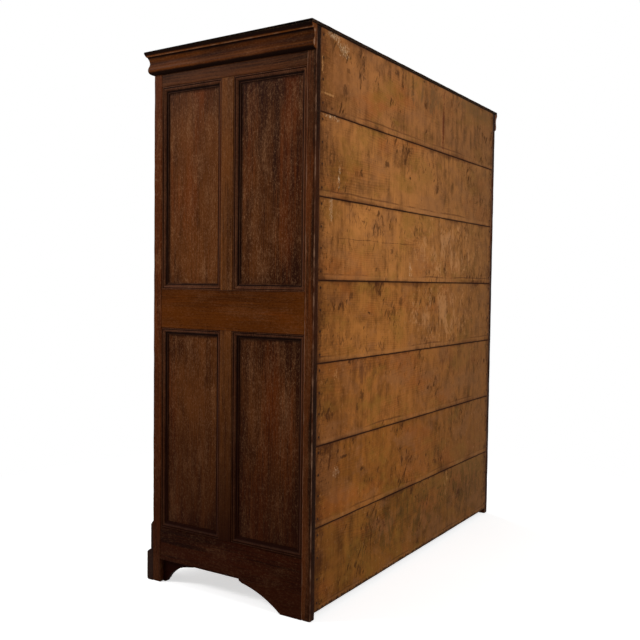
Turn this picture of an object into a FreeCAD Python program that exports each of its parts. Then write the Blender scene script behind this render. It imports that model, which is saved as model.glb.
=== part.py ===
"""A tall two-door cupboard with framed ends, a boarded back, a cornice and a bracketed base.

Millimetres, +Z up. The front faces -Y, and left and right are as seen from the front. The origin is on
the floor, midway between the two ends and midway between the knob's tip and the back.
"""
import FreeCAD, Part
import math
import os
import types
import Sketcher

SIZES = {
    # The carcase
    "carcase_width": 1475.0,
    "carcase_depth": 645.0,
    "carcase_height": 1788.0,
    "top_board_thickness": 12.0,
    "top_board_round": 3.0,
    # Corner posts at the front, stiles at the back
    "post_width": 60.0,
    "post_depth": 34.0,
    "rear_stile_width": 25.0,
    "rear_stile_depth": 33.0,
    "rear_lip_width": 20.0,
    # The framed ends, from the floor up
    "end_thickness": 25.0,
    "rail_clear": 80.0,
    "end_bottom_rail_height": 112.0,
    "lower_opening_height": 681.0,
    "middle_rail_height": 129.0,
    "end_top_rail_height": 113.0,
    "muntin_width": 48.0,
    "muntin_forward": 10.0,
    # Joinery shared by the ends and the doors
    "groove_depth": 8.0,
    "panel_play": 0.6,
    "tenon_length": 20.0,
    "tenon_shoulder": 12.0,
    "mortise_play": 0.5,
    # Mouldings planted round the panels
    "moulding_width": 22.0,
    "moulding_sink": 2.0,
    "moulding_bead": 7.0,
    "moulding_fillet": 3.0,
    "mitre_kerf": 0.2,
    # Brackets beside the rear stiles, brackets behind the front posts, and the arched plinth
    "bracket_thickness": 20.0,
    "bracket_reach": 241.0,
    "bracket_tip": 6.0,
    "bracket_quirk": 12.0,
    "bracket_quirk_drop": 6.0,
    "bracket_foot": 79.0,
    "post_bracket_set_in": 16.0,
    "post_bracket_thickness": 20.0,
    "post_bracket_foot": 9.5,
    "post_bracket_run": 93.5,
    "post_bracket_rise": 66.0,
    "post_bracket_reach": 133.0,
    "post_bracket_tip": 9.0,
    "plinth_height": 109.0,
    "plinth_projection": 26.0,
    "plinth_bevel_height": 11.0,
    "plinth_bevel_depth": 17.0,
    "plinth_foot": 72.0,
    "base_moulding_projection": 9.0,
    "base_moulding_bevel": 11.0,
    # Front rails
    "front_bottom_rail_top": 206.0,
    "front_top_rail_height": 98.0,
    "front_top_rail_thickness": 44.0,
    "front_tenon_thickness": 8.0,
    "front_tenon_setback": 7.0,
    # Cornice, measured out from the carcase and down from its top
    "cornice_projection": 26.0,
    "cornice_height": 72.0,
    "cornice_fillet_set": 2.0,
    "cornice_fillet_height": 13.0,
    "cornice_cove_out": 15.0,
    "cornice_cove_step": 2.0,
    "cornice_neck_out": 11.5,
    "cornice_neck_down": 32.0,
    "cornice_torus_out": 4.0,
    "cornice_torus_rise": 4.0,
    # Back boards
    "back_clear": 22.0,
    "back_board_thickness": 16.0,
    "board_joint": 1.2,
    "board_end_play": 0.8,
    "board_arris": 0.8,
    "nail_radius": 1.6,
    "nail_head_radius": 2.6,
    "nail_head_height": 0.8,
    "nail_inset": 12.0,
    # Bottom board, shelves and the bearers under them
    "bottom_board_thickness": 22.0,
    "door_stop_height": 12.0,
    "shelf_thickness": 20.0,
    "shelf_setback": 46.0,
    "shelf_play": 0.5,
    "shelf_round": 4.0,
    "bearer_width": 20.0,
    "bearer_height": 30.0,
    # Doors
    "door_thickness": 22.0,
    "door_stile_width": 85.0,
    "door_top_rail_height": 85.0,
    "door_bottom_rail_height": 115.0,
    "door_top_gap": 3.0,
    "door_bottom_gap": 3.0,
    "meeting_gap": 3.0,
    "door_stop_play": 0.3,
    # Butt hinges
    "hinge_height": 75.0,
    "hinge_leaf_thickness": 1.5,
    "hinge_leaf_setback": 2.0,
    "hinge_leaf_play": 0.4,
    "knuckle_radius": 4.0,
    "knuckle_stand_off": 0.3,
    "knuckle_play": 0.3,
    "pin_radius": 2.0,
    "pin_fit": 0.05,
    "pin_head_radius": 3.4,
    "pin_head_height": 1.6,
    "hinge_end_distance": 170.0,
    # Knob
    "knob_reach": 34.0,
    "knob_radius": 19.0,
    "knob_neck_radius": 9.0,
    "knob_base_radius": 14.0,
    "knob_base_height": 4.0,
    "knob_neck_height": 12.0,
    "knob_dome_radius": 12.0,
    "knob_spigot_radius": 5.0,
    "knob_spigot_length": 14.0,
    "knob_fit": 0.1,
    "knob_rise": 28.0,
    # Lock let into the right door
    "lock_drop": 12.5,
    "lock_case_width": 46.0,
    "lock_case_depth": 13.0,
    "lock_case_height": 64.0,
    "lock_bolt_length": 30.0,
    "lock_bolt_thickness": 6.0,
    "lock_bolt_height": 22.0,
    "lock_bolt_throw": 10.0,
    "lock_bolt_play": 0.3,
    "lock_tail_room": 2.0,
    "lock_back_wall": 2.0,
    "keyhole_radius": 3.5,
    "keyhole_slot_width": 3.0,
    "keyhole_slot_length": 13.0,
    "keyhole_set": 24.0,
    # Tower bolt inside the left door
    "bolt_plate_width": 22.0,
    "bolt_plate_height": 110.0,
    "bolt_plate_thickness": 1.5,
    "bolt_plate_drop": 6.0,
    "bolt_radius": 4.0,
    "bolt_length": 120.0,
    "bolt_play": 0.1,
    "bolt_stand_off": 0.6,
    "bolt_throw": 14.0,
    "bolt_rest_drop": 2.0,
    "staple_height": 10.0,
    "staple_width": 14.0,
    "staple_wall": 2.0,
    "staple_inset": 12.0,
    "bolt_grip_radius": 3.5,
    "bolt_grip_length": 8.0,
    "keeper_spare": 3.0,
    # How far a cutting shape runs past what it cuts
    "overrun": 5.0,
}

# Where a panel's outer face lies in its frame's thickness, and how much of it the panel fills
END_RECESS_SHARE = 0.52
DOOR_RECESS_SHARE = 0.46
PANEL_THICKNESS_SHARE = 0.32
# How far the front rails' tenons reach into the posts' width
FRONT_TENON_SHARE = 0.5
# Upper edges of the back boards, as shares of the back's height
BOARD_SHARES = (0.1475, 0.2899, 0.4323, 0.5747, 0.7171, 0.8596, 1.0)
BOARD_NAMES = ("lowest", "second", "third", "fourth", "fifth", "sixth", "top")
# Nails down each end of a back board, as shares of its height from the top, and their bite in the lip
NAIL_SHARES = (0.085, 0.356, 0.613, 0.895)
NAIL_BITE_SHARE = 0.7
# The lower shelf as a share of the way from the bottom board to the middle shelf, and the upper one as a
# share of the way from there to the top
LOWER_SHELF_SHARE = 0.47
UPPER_SHELF_SHARE = 0.43
# Knuckles of a hinge from the bottom up, as shares of its height
KNUCKLE_SHARES = (0.0, 0.2, 0.4, 0.6, 0.8, 1.0)
# How far a curve rises from its chord, as a share of the chord
BRACKET_CURVE_SHARE = 0.06
POST_BRACKET_CURVE_SHARE = 0.112
COVE_CURVE_SHARE = 0.085
TORUS_CURVE_SHARE = 0.24
KNOB_COVE_SHARE = 0.15
KNOB_BREAST_SHARE = 0.16
QUARTER_CIRCLE_SHARE = 0.2071
QUARTER_TURN = 90.0
FULL_TURN = 360.0
# How near an edge lies to a plane when it is picked out to be rounded
EDGE_MATCH = 0.1
SIDES = {"left": -1, "right": 1}

os.makedirs("parts", exist_ok=True)
doc = FreeCAD.newDocument("Cupboard")
sheet = doc.addObject("Spreadsheet::Sheet", "Sizes")
for row, (alias, number) in enumerate(SIZES.items(), start=1):
    sheet.set(f"A{row}", alias)
    sheet.set(f"B{row}", str(number))
    sheet.setAlias(f"B{row}", alias)
doc.recompute()


class Size:
    """A length with its number now and the words by which the document works it out."""

    def __init__(self, number, words):
        self.number = number
        self.words = words

    def __add__(self, other):
        other = as_size(other)
        return Size(self.number + other.number, f"({self.words} + {other.words})")

    def __sub__(self, other):
        other = as_size(other)
        return Size(self.number - other.number, f"({self.words} - {other.words})")

    def __mul__(self, other):
        other = as_size(other)
        return Size(self.number * other.number, f"({self.words} * {other.words})")

    def __truediv__(self, other):
        other = as_size(other)
        return Size(self.number / other.number, f"({self.words} / {other.words})")

    def __rsub__(self, other):
        return as_size(other) - self

    def __neg__(self):
        return as_size(0) - self

    def root(self):
        return Size(math.sqrt(self.number), f"sqrt({self.words})")

    __radd__ = __add__
    __rmul__ = __mul__


def as_size(value):
    """A plain count or share as a Size, and a Size as it is."""
    return value if isinstance(value, Size) else Size(value, f"({value})")


s = types.SimpleNamespace(**{alias: Size(number, f"Sizes.{alias}") for alias, number in SIZES.items()})
nodes = []


def keep(node, piece):
    """Give a finished piece its own name and put it on the list of what is written out."""
    piece.Label = node
    nodes.append(piece)
    return piece


def bind(piece, **sizes):
    """Tie properties of a piece to sizes."""
    for name, value in sizes.items():
        piece.setExpression(name.replace("_at_", "."), as_size(value).words)


# Plain blocks and booleans

def block(name, xs, ys, zs):
    """A rectangular piece between three pairs of planes."""
    piece = doc.addObject("Part::Box", name)
    for axis, span in zip("xyz", (xs, ys, zs)):
        piece.setExpression(f"Placement.Base.{axis}", as_size(span[0]).words)
    for edge, span in zip(("Length", "Width", "Height"), (xs, ys, zs)):
        piece.setExpression(edge, (span[1] - as_size(span[0])).words)
    return piece


def cylinder(name, radius, length, base, axis=None, turn=QUARTER_TURN):
    """A round piece from a base point along +Z, or turned about an axis."""
    piece = doc.addObject("Part::Cylinder", name)
    bind(piece, Radius=radius, Height=length)
    if axis:
        piece.Placement = FreeCAD.Placement(FreeCAD.Vector(), FreeCAD.Rotation(FreeCAD.Vector(*axis), turn))
    for letter, value in zip("xyz", base):
        piece.setExpression(f"Placement.Base.{letter}", as_size(value).words)
    return piece


def compound(name, pieces):
    """Separate pieces held together as one object."""
    group = doc.addObject("Part::Compound", name)
    group.Links = pieces
    return group


def fuse(name, pieces):
    """Touching shapes made one solid."""
    joined = doc.addObject("Part::MultiFuse", name)
    joined.Shapes = pieces
    joined.Refine = True
    return joined


def cut(name, piece, tool):
    """A piece less the tool."""
    left = doc.addObject("Part::Cut", name)
    left.Base = piece
    left.Tool = tool
    left.Refine = True
    return left


# Bodies drawn as outlines and padded

def body_of(name):
    """A new body, and its origin planes by role."""
    body = doc.addObject("PartDesign::Body", name)
    planes = {feature.Role: feature for feature in body.Origin.OriginFeatures}
    return body, planes


def arc_radius(start, end, share):
    """The radius, as a Size, of an arc that rises from its chord by that share of it."""
    run, rise = end[0] - start[0], end[1] - start[1]
    chord = (run * run + rise * rise).root()
    return chord * ((1 + 4 * share * share) / (8 * abs(share)))


def arc_between(start, end, radius, left):
    """The short arc from one point to the other, bulging to the left or right of the way."""
    (x0, y0), (x1, y1) = start, end
    half = math.hypot(x1 - x0, y1 - y0) / 2
    rise = math.sqrt(radius * radius - half * half) / (2 * half)
    hand = -1 if left else 1
    centre_x = (x0 + x1) / 2 - hand * (y1 - y0) * rise
    centre_y = (y0 + y1) / 2 + hand * (x1 - x0) * rise
    circle = Part.Circle(FreeCAD.Vector(centre_x, centre_y, 0), FreeCAD.Vector(0, 0, 1), radius)
    first = math.atan2(y0 - centre_y, x0 - centre_x)
    last = math.atan2(y1 - centre_y, x1 - centre_x)
    if left:
        first, last = last, first
    return Part.ArcOfCircle(circle, first, last)


def outline(body, plane, name, offset, corners):
    """A closed outline on a plane, offset along its normal.

    Each corner is a pair of sizes. A third entry makes the edge that leaves the corner an arc, which rises
    from its chord by that share of it, to the left of the way or to the right below zero.
    """
    drawing = body.newObject("Sketcher::SketchObject", name)
    drawing.AttachmentSupport = [(plane, "")]
    drawing.MapMode = "FlatFace"
    drawing.setExpression("AttachmentOffset.Base.z", as_size(offset).words)
    points = [(as_size(corner[0]), as_size(corner[1])) for corner in corners]
    ends = []
    for index, corner in enumerate(corners):
        following = points[(index + 1) % len(points)]
        start = [value.number for value in points[index]]
        end = [value.number for value in following]
        for share in corner[2:]:
            left = share > 0
            radius = arc_radius(points[index], following, share)
            drawing.addGeometry(arc_between(start, end, radius.number, left))
            number = drawing.addConstraint(Sketcher.Constraint("Radius", index, radius.number))
            drawing.setExpression(f"Constraints[{number}]", radius.words)
            ends.append((2, 1) if left else (1, 2))
        if not corner[2:]:
            drawing.addGeometry(Part.LineSegment(FreeCAD.Vector(*start, 0), FreeCAD.Vector(*end, 0)))
            ends.append((1, 2))
    for index in range(len(points)):
        following = (index + 1) % len(points)
        drawing.addConstraint(
            Sketcher.Constraint("Coincident", index, ends[index][1], following, ends[following][0]))
    for index, point in enumerate(points):
        for value, kind, axis in ((point[0], "DistanceX", -2), (point[1], "DistanceY", -1)):
            if value.number == 0:
                drawing.addConstraint(Sketcher.Constraint("PointOnObject", index, ends[index][0], axis))
                continue
            number = drawing.addConstraint(
                Sketcher.Constraint(kind, -1, 1, index, ends[index][0], value.number))
            drawing.setExpression(f"Constraints[{number}]", value.words)
    return drawing


def padded(body, plane, name, offset, corners, length):
    """An outline padded along its plane's normal."""
    pad = body.newObject("PartDesign::Pad", name)
    pad.Profile = outline(body, plane, name + "_outline", offset, corners)
    pad.setExpression("Length", as_size(length).words)
    return pad


def pocketed(body, plane, name, offset, corners, length):
    """An outline cut into the body, against its plane's normal."""
    pocket = body.newObject("PartDesign::Pocket", name)
    pocket.Profile = outline(body, plane, name + "_outline", offset, corners)
    pocket.setExpression("Length", as_size(length).words)
    return pocket


# Where things stand

half_width = s.carcase_width / 2
front = s.knob_reach / 2 - s.carcase_depth / 2
back = s.knob_reach / 2 + s.carcase_depth / 2
carcase_top = s.carcase_height
post_back = front + s.post_depth
rear_stile_front = back - s.rear_stile_depth
board_front = back - s.back_board_thickness
end_inside = half_width - s.end_thickness
post_inside = half_width - s.post_width
lip_inside = half_width - s.rear_stile_width - s.rear_lip_width
lower_opening = (s.rail_clear + s.end_bottom_rail_height,
                 s.rail_clear + s.end_bottom_rail_height + s.lower_opening_height)
middle_rail = (lower_opening[1], lower_opening[1] + s.middle_rail_height)
upper_opening = (middle_rail[1], carcase_top - s.end_top_rail_height)
hinge_gap = 2 * s.hinge_leaf_thickness + s.hinge_leaf_play
door_bottom = s.front_bottom_rail_top + s.door_bottom_gap
door_top = carcase_top - s.front_top_rail_height - s.door_top_gap
bottom_board_top = s.front_bottom_rail_top + s.door_stop_height
hinge_axis_y = front - s.knuckle_radius - s.knuckle_stand_off
hinge_axis_x = post_inside - hinge_gap / 2


# Frames of stiles, rails and panels: depth is measured inwards from the outer face

class EndFace:
    """The outer face of one end, seen square on: the run goes along Y."""

    def __init__(self, side):
        self.side = side

    def block(self, name, run, depth, up):
        if self.side > 0:
            xs = (half_width - depth[1], half_width - depth[0])
        else:
            xs = (depth[0] - half_width, depth[1] - half_width)
        return block(name, xs, run, up)

    def taper(self, name, outer, inner, depth):
        """A sinking that narrows from the outer (run, up) to the inner one."""
        sinking = doc.addObject("Part::Wedge", name)
        turn = FreeCAD.Rotation(FreeCAD.Vector(0, 0, 1), self.side * QUARTER_TURN)
        sinking.Placement = FreeCAD.Placement(FreeCAD.Vector(), turn)
        runs = [run if self.side > 0 else (-run[1], -run[0]) for run in (outer[0], inner[0])]
        shape_wedge(sinking, runs, (outer[1], inner[1]), (depth[0] - half_width, depth[1] - half_width))
        return sinking

    def kerf(self, name, corner, ways, depth):
        """A saw cut at 45 degrees from a corner, towards (run, up)."""
        run, up = corner
        saw = self.block(name, (run, run + saw_length), depth, (up, up + s.mitre_kerf))
        turn = math.degrees(math.atan2(ways[1], ways[0]))
        saw.Placement.Rotation = FreeCAD.Rotation(FreeCAD.Vector(1, 0, 0), turn)
        return saw


class DoorFace:
    """The outer face of a door, seen square on: the run goes along X."""

    def block(self, name, run, depth, up):
        return block(name, run, (front + depth[0], front + depth[1]), up)

    def taper(self, name, outer, inner, depth):
        sinking = doc.addObject("Part::Wedge", name)
        ys = (front + depth[0], front + depth[1])
        shape_wedge(sinking, (outer[0], inner[0]), (outer[1], inner[1]), ys)
        return sinking

    def kerf(self, name, corner, ways, depth):
        run, up = corner
        saw = self.block(name, (run, run + saw_length), depth, (up, up + s.mitre_kerf))
        turn = math.degrees(math.atan2(ways[1], ways[0]))
        saw.Placement.Rotation = FreeCAD.Rotation(FreeCAD.Vector(0, 1, 0), -turn)
        return saw


saw_length = 2 * s.moulding_width


def shape_wedge(wedge, runs, ups, depth):
    """Set a wedge's two rectangles and the depths at which they lie."""
    bind(wedge, Xmin=runs[0][0], Xmax=runs[0][1], X2min=runs[1][0], X2max=runs[1][1],
         Zmin=ups[0][0], Zmax=ups[0][1], Z2min=ups[1][0], Z2max=ups[1][1], Ymin=depth[0], Ymax=depth[1])


def inset(span, amount):
    """A span drawn in at both ends."""
    return span[0] + amount, span[1] - amount


def moulding_frame(name, face, opening, recess):
    """Four mitred strips round one opening: a bead, a slope and a fillet beside the panel."""
    run, up = opening
    ring = face.block(name + "_ring", run, (s.moulding_sink, recess), up)
    fillet_depth = recess - s.moulding_fillet
    slope_foot = s.moulding_width - s.moulding_fillet
    slope = face.taper(
        name + "_slope",
        (inset(run, s.moulding_bead), inset(up, s.moulding_bead)),
        (inset(run, slope_foot), inset(up, slope_foot)),
        (s.moulding_sink, fillet_depth))
    hole = face.block(
        name + "_hole", inset(run, s.moulding_width), (s.moulding_sink - s.overrun, recess + s.overrun),
        inset(up, s.moulding_width))
    hollow = fuse(name + "_hollow", [slope, hole])
    saws = []
    for along, run_way in ((run[0], 1), (run[1], -1)):
        for level, up_way in ((up[0], 1), (up[1], -1)):
            corner = (along - run_way * s.moulding_sink, level - up_way * s.moulding_sink)
            depth = (s.moulding_sink - s.overrun, recess + s.overrun)
            saws.append(face.kerf(f"{name}_saw_{len(saws)}", corner, (run_way, up_way), depth))
    shaped = cut(name + "_shaped", ring, hollow)
    return cut(name + "_strips", shaped, compound(name + "_saws", saws))


def frame_and_panels(prefix, face, thickness, recess_share, stiles, rails, muntins, openings):
    """Members tenoned together, with panels in their grooves and mouldings round the panels.

    stiles, rails and muntins give name -> (run, up); openings is a list of (run, up).
    Returns the members by name, still to be kept, with the panels and mouldings as compounds.
    """
    recess = recess_share * thickness
    tongue_depth = (recess, recess + PANEL_THICKNESS_SHARE * thickness)
    full = (0, thickness)
    spaces = []
    panels = []
    for count, (run, up) in enumerate(openings):
        wide, tall = inset(run, -s.groove_depth), inset(up, -s.groove_depth)
        spaces.append(face.block(f"{prefix}_panel_space_{count}", wide, tongue_depth, tall))
        panels.append(face.block(
            f"{prefix}_panel_{count}", inset(wide, s.panel_play), tongue_depth, inset(tall, s.panel_play)))
    grooves = compound(prefix + "_grooves", spaces)
    tongues = {}
    sockets = {}
    for name, (run, up) in rails.items():
        tall = inset(up, s.tenon_shoulder)
        wide = inset(run, -s.tenon_length)
        tongues[name] = face.block(f"{prefix}_{name}_tongue", wide, tongue_depth, tall)
        wide = inset(run, -s.tenon_length - s.mortise_play)
        sockets[name] = face.block(f"{prefix}_{name}_socket", wide, tongue_depth, tall)
    for name, (run, up) in muntins.items():
        wide = inset(run, s.tenon_shoulder)
        tall = inset(up, -s.tenon_length)
        tongues[name] = face.block(f"{prefix}_{name}_tongue", wide, tongue_depth, tall)
        tall = inset(up, -s.tenon_length - s.mortise_play)
        sockets[name] = face.block(f"{prefix}_{name}_socket", wide, tongue_depth, tall)
    mortises = compound(prefix + "_mortises", [sockets[name] for name in rails])
    members = {}
    for name, (run, up) in stiles.items():
        blank = face.block(f"{prefix}_{name}_blank", run, full, up)
        mortised = cut(f"{prefix}_{name}_mortised", blank, mortises)
        members[name] = cut(f"{prefix}_{name}_grooved", mortised, grooves)
    for name, (run, up) in {**rails, **muntins}.items():
        blank = face.block(f"{prefix}_{name}_blank", run, full, up)
        tongued = fuse(f"{prefix}_{name}_tongued", [blank, tongues[name]])
        members[name] = cut(f"{prefix}_{name}_grooved", tongued, grooves)
    if muntins:
        pockets = compound(prefix + "_muntin_mortises", [sockets[name] for name in muntins])
        for name in rails:
            members[name] = cut(f"{prefix}_{name}_mortised", members[name], pockets)
    strips = [moulding_frame(f"{prefix}_moulding_{count}", face, opening, recess)
              for count, opening in enumerate(openings)]
    members["panels"] = compound(prefix + "_panel_set", panels)
    members["mouldings"] = compound(prefix + "_moulding_set", strips)
    return members


# Front rails between the corner posts

front_rail_run = (-post_inside, post_inside)
front_tenon_length = FRONT_TENON_SHARE * s.post_width
front_rail_tongue_run = inset(front_rail_run, -front_tenon_length)
front_rail_socket_run = inset(front_rail_run, -front_tenon_length - s.mortise_play)
front_tongue_ys = (front + s.front_tenon_setback, front + s.front_tenon_setback + s.front_tenon_thickness)
front_rails = {
    "front_top_rail": ((carcase_top - s.front_top_rail_height, carcase_top), s.front_top_rail_thickness),
    "front_bottom_rail": ((s.rail_clear, s.front_bottom_rail_top), s.door_thickness),
}
front_sockets = []
front_blanks = {}
for name, (up, thickness) in front_rails.items():
    tall = inset(up, s.tenon_shoulder)
    blank = block(name + "_blank", front_rail_run, (front, front + thickness), up)
    tongue = block(name + "_tongue", front_rail_tongue_run, front_tongue_ys, tall)
    front_sockets.append(block(name + "_socket", front_rail_socket_run, front_tongue_ys, tall))
    front_blanks[name] = fuse(name + "_tongued", [blank, tongue])
front_mortises = compound("front_mortises", front_sockets)

# The tower bolt's hole in the top rail, over the left door's meeting stile
bolt_x = -s.meeting_gap / 2 - s.door_stile_width / 2
bolt_y = front + s.door_thickness + s.bolt_plate_thickness + s.bolt_stand_off + s.bolt_radius
bolt_top = door_top - s.bolt_rest_drop
keeper_top = bolt_top + s.bolt_throw + s.keeper_spare
keeper_hole = cylinder(
    "keeper_hole", s.bolt_radius + s.bolt_play, keeper_top - door_top, (bolt_x, bolt_y, door_top))
keep("front_top_rail", cut("front_top_rail_bored", front_blanks["front_top_rail"], keeper_hole))
keep("front_bottom_rail", front_blanks["front_bottom_rail"])


# Back boards lying in the rebates of the rear stiles, nailed down each end

board_half = half_width - s.rear_stile_width - s.board_end_play
nail_length = s.back_board_thickness + NAIL_BITE_SHARE * (s.rear_stile_depth - s.back_board_thickness)
nails = {side_name: [] for side_name in SIDES}
level = s.back_clear
for name, top_share in zip(BOARD_NAMES, BOARD_SHARES):
    board_top = s.back_clear + top_share * (carcase_top - s.back_clear)
    body, planes = body_of(name + "_back_board_body")
    board_pad = padded(body, planes["XZ_Plane"], name + "_board_pad", -back, [
        (-board_half, level), (board_half, level), (board_half, board_top), (-board_half, board_top),
    ], s.back_board_thickness)
    doc.recompute()
    arrises = [f"Edge{number}" for number, edge in enumerate(board_pad.Shape.Edges, start=1)
               if edge.BoundBox.YMin > board_front.number and edge.BoundBox.XLength > board_half.number]
    arris = body.newObject("PartDesign::Chamfer", name + "_board_arrises")
    arris.Base = (board_pad, arrises)
    arris.setExpression("Size", s.board_arris.words)
    board_nails = []
    for side_name, side in SIDES.items():
        nail_x = side * (board_half - s.nail_inset)
        for number, share in enumerate(NAIL_SHARES):
            nail = f"{name}_{side_name}_nail_{number}"
            nail_base = (nail_x, back, board_top - share * (board_top - level))
            shank = cylinder(nail + "_shank", s.nail_radius, nail_length, nail_base, (1, 0, 0))
            head = cylinder(nail + "_head", s.nail_head_radius, s.nail_head_height, nail_base, (1, 0, 0))
            driven = fuse(nail, [shank, head])
            board_nails.append(driven)
            nails[side_name].append(driven)
    keep(name + "_back_board", cut(name + "_board_nailed", body, compound(name + "_nails", board_nails)))
    level = board_top + s.board_joint
nail_sets = {side_name: compound(side_name + "_nail_set", driven) for side_name, driven in nails.items()}
keep("back_nails", compound("back_nail_set", nails["left"] + nails["right"]))


# The two framed ends

muntin_middle = s.knob_reach / 2 - s.muntin_forward
muntin_run = (muntin_middle - s.muntin_width / 2, muntin_middle + s.muntin_width / 2)
end_run = (post_back, rear_stile_front)
end_openings = [(run, up) for up in (lower_opening, upper_opening)
                for run in ((end_run[0], muntin_run[0]), (muntin_run[1], end_run[1]))]
for side_name, side in SIDES.items():
    face = EndFace(side)
    end = frame_and_panels(
        side_name + "_end", face, s.end_thickness, END_RECESS_SHARE,
        stiles={},
        rails={"top_rail": (end_run, (upper_opening[1], carcase_top)),
               "middle_rail": (end_run, middle_rail),
               "bottom_rail": (end_run, (s.rail_clear, lower_opening[0]))},
        muntins={"lower_muntin": (muntin_run, lower_opening), "upper_muntin": (muntin_run, upper_opening)},
        openings=end_openings)
    grooves = doc.getObject(side_name + "_end_grooves")
    mortises = doc.getObject(side_name + "_end_mortises")

    post = face.block(side_name + "_post_blank", (front, post_back), (0, s.post_width), (0, carcase_top))
    post = cut(side_name + "_post_front_mortised", post, front_mortises)
    post = cut(side_name + "_post_mortised", post, mortises)
    keep(side_name + "_front_post", cut(side_name + "_post_grooved", post, grooves))

    stile = face.block(
        side_name + "_rear_stile_blank", (rear_stile_front, back), (0, s.rear_stile_width), (0, carcase_top))
    lip = face.block(
        side_name + "_rear_lip", (rear_stile_front, board_front),
        (s.rear_stile_width, s.rear_stile_width + s.rear_lip_width), (s.back_clear, carcase_top))
    stile = fuse(side_name + "_rear_stile_lipped", [stile, lip])
    stile = cut(side_name + "_rear_stile_mortised", stile, mortises)
    stile = cut(side_name + "_rear_stile_grooved", stile, grooves)
    keep(side_name + "_rear_stile", cut(side_name + "_rear_stile_nailed", stile, nail_sets[side_name]))

    for name in ("top_rail", "middle_rail", "bottom_rail"):
        keep(f"{side_name}_end_{name}", end[name])
    keep(side_name + "_end_muntins",
         compound(side_name + "_muntin_pair", [end["lower_muntin"], end["upper_muntin"]]))
    keep(side_name + "_end_panels", end["panels"])
    keep(side_name + "_end_mouldings", end["mouldings"])


# Brackets under the end bottom rails: flush ones beside the rear stiles, set-in ones behind the front posts

bracket_root = rear_stile_front
bracket_tip_y = bracket_root - s.bracket_reach
bracket_curve_top = s.rail_clear - s.bracket_tip - s.bracket_quirk_drop
brackets = []
for side_name, side in SIDES.items():
    body, planes = body_of(side_name + "_rear_bracket")
    inner_face = half_width - s.bracket_thickness if side > 0 else -half_width
    padded(body, planes["YZ_Plane"], side_name + "_bracket_pad", inner_face, [
        (bracket_root, 0),
        (bracket_root, s.rail_clear),
        (bracket_tip_y, s.rail_clear),
        (bracket_tip_y, s.rail_clear - s.bracket_tip),
        (bracket_tip_y + s.bracket_quirk, bracket_curve_top, BRACKET_CURVE_SHARE),
        (bracket_root - s.bracket_foot, 0),
    ], s.bracket_thickness)
    brackets.append(body)
    body, planes = body_of(side_name + "_post_bracket")
    outer_face = half_width - s.post_bracket_set_in
    inner_face = outer_face - s.post_bracket_thickness if side > 0 else -outer_face
    padded(body, planes["YZ_Plane"], side_name + "_post_bracket_pad", inner_face, [
        (post_back, 0),
        (post_back + s.post_bracket_foot, 0, POST_BRACKET_CURVE_SHARE),
        (post_back + s.post_bracket_foot + s.post_bracket_run, s.post_bracket_rise),
        (post_back + s.post_bracket_reach, s.rail_clear - s.post_bracket_tip),
        (post_back + s.post_bracket_reach, s.rail_clear),
        (post_back, s.rail_clear),
    ], s.post_bracket_thickness)
    brackets.append(body)
keep("end_brackets", compound("end_bracket_set", brackets))


# The arched plinth, its bevelled top, and the thin moulding above it

arch_run = s.bracket_reach - s.bracket_quirk - s.bracket_foot
body, planes = body_of("plinth_body")
arch_left = -half_width + s.plinth_foot
arch_right = half_width - s.plinth_foot
padded(body, planes["XZ_Plane"], "plinth_pad", -front, [
    (-half_width, 0),
    (arch_left, 0, BRACKET_CURVE_SHARE),
    (arch_left + arch_run, bracket_curve_top),
    (arch_left + arch_run + s.bracket_quirk, s.rail_clear - s.bracket_tip),
    (arch_left + arch_run + s.bracket_quirk, s.rail_clear),
    (arch_right - arch_run - s.bracket_quirk, s.rail_clear),
    (arch_right - arch_run - s.bracket_quirk, s.rail_clear - s.bracket_tip),
    (arch_right - arch_run, bracket_curve_top, BRACKET_CURVE_SHARE),
    (arch_right, 0),
    (half_width, 0),
    (half_width, s.plinth_height),
    (-half_width, s.plinth_height),
], s.plinth_projection)
plinth_face = front - s.plinth_projection
bevel_slope = s.plinth_bevel_depth / s.plinth_bevel_height
pocketed(body, planes["YZ_Plane"], "plinth_bevel", half_width + s.overrun, [
    (plinth_face, s.plinth_height - s.plinth_bevel_height),
    (plinth_face + s.plinth_bevel_depth + s.overrun * bevel_slope, s.plinth_height + s.overrun),
    (plinth_face - s.overrun, s.plinth_height + s.overrun),
    (plinth_face - s.overrun, s.plinth_height - s.plinth_bevel_height),
], s.carcase_width + 2 * s.overrun)
keep("front_plinth", body)

body, planes = body_of("base_moulding_body")
base_face = front - s.base_moulding_projection
padded(body, planes["YZ_Plane"], "base_moulding_pad", -half_width, [
    (front, s.plinth_height),
    (front, s.front_bottom_rail_top),
    (base_face, s.front_bottom_rail_top - s.base_moulding_bevel),
    (base_face, s.plinth_height),
], s.carcase_width)
keep("base_moulding", body)


# Cornice: one length along the front and a return along each end, mitred at the corners

def cornice_profile(face, out):
    """The section's corners, where face is the carcase plane and out points away from it."""
    fillet_face = face + out * (s.cornice_projection - s.cornice_fillet_set)
    fillet_foot = carcase_top - s.cornice_fillet_height
    return [
        (face, carcase_top),
        (fillet_face, carcase_top),
        (fillet_face, fillet_foot),
        (face + out * s.cornice_cove_out, fillet_foot - s.cornice_cove_step, -out * COVE_CURVE_SHARE),
        (face + out * s.cornice_neck_out, carcase_top - s.cornice_neck_down, out * TORUS_CURVE_SHARE),
        (face + out * s.cornice_torus_out, carcase_top - s.cornice_height + s.cornice_torus_rise),
        (face, carcase_top - s.cornice_height),
    ]


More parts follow.
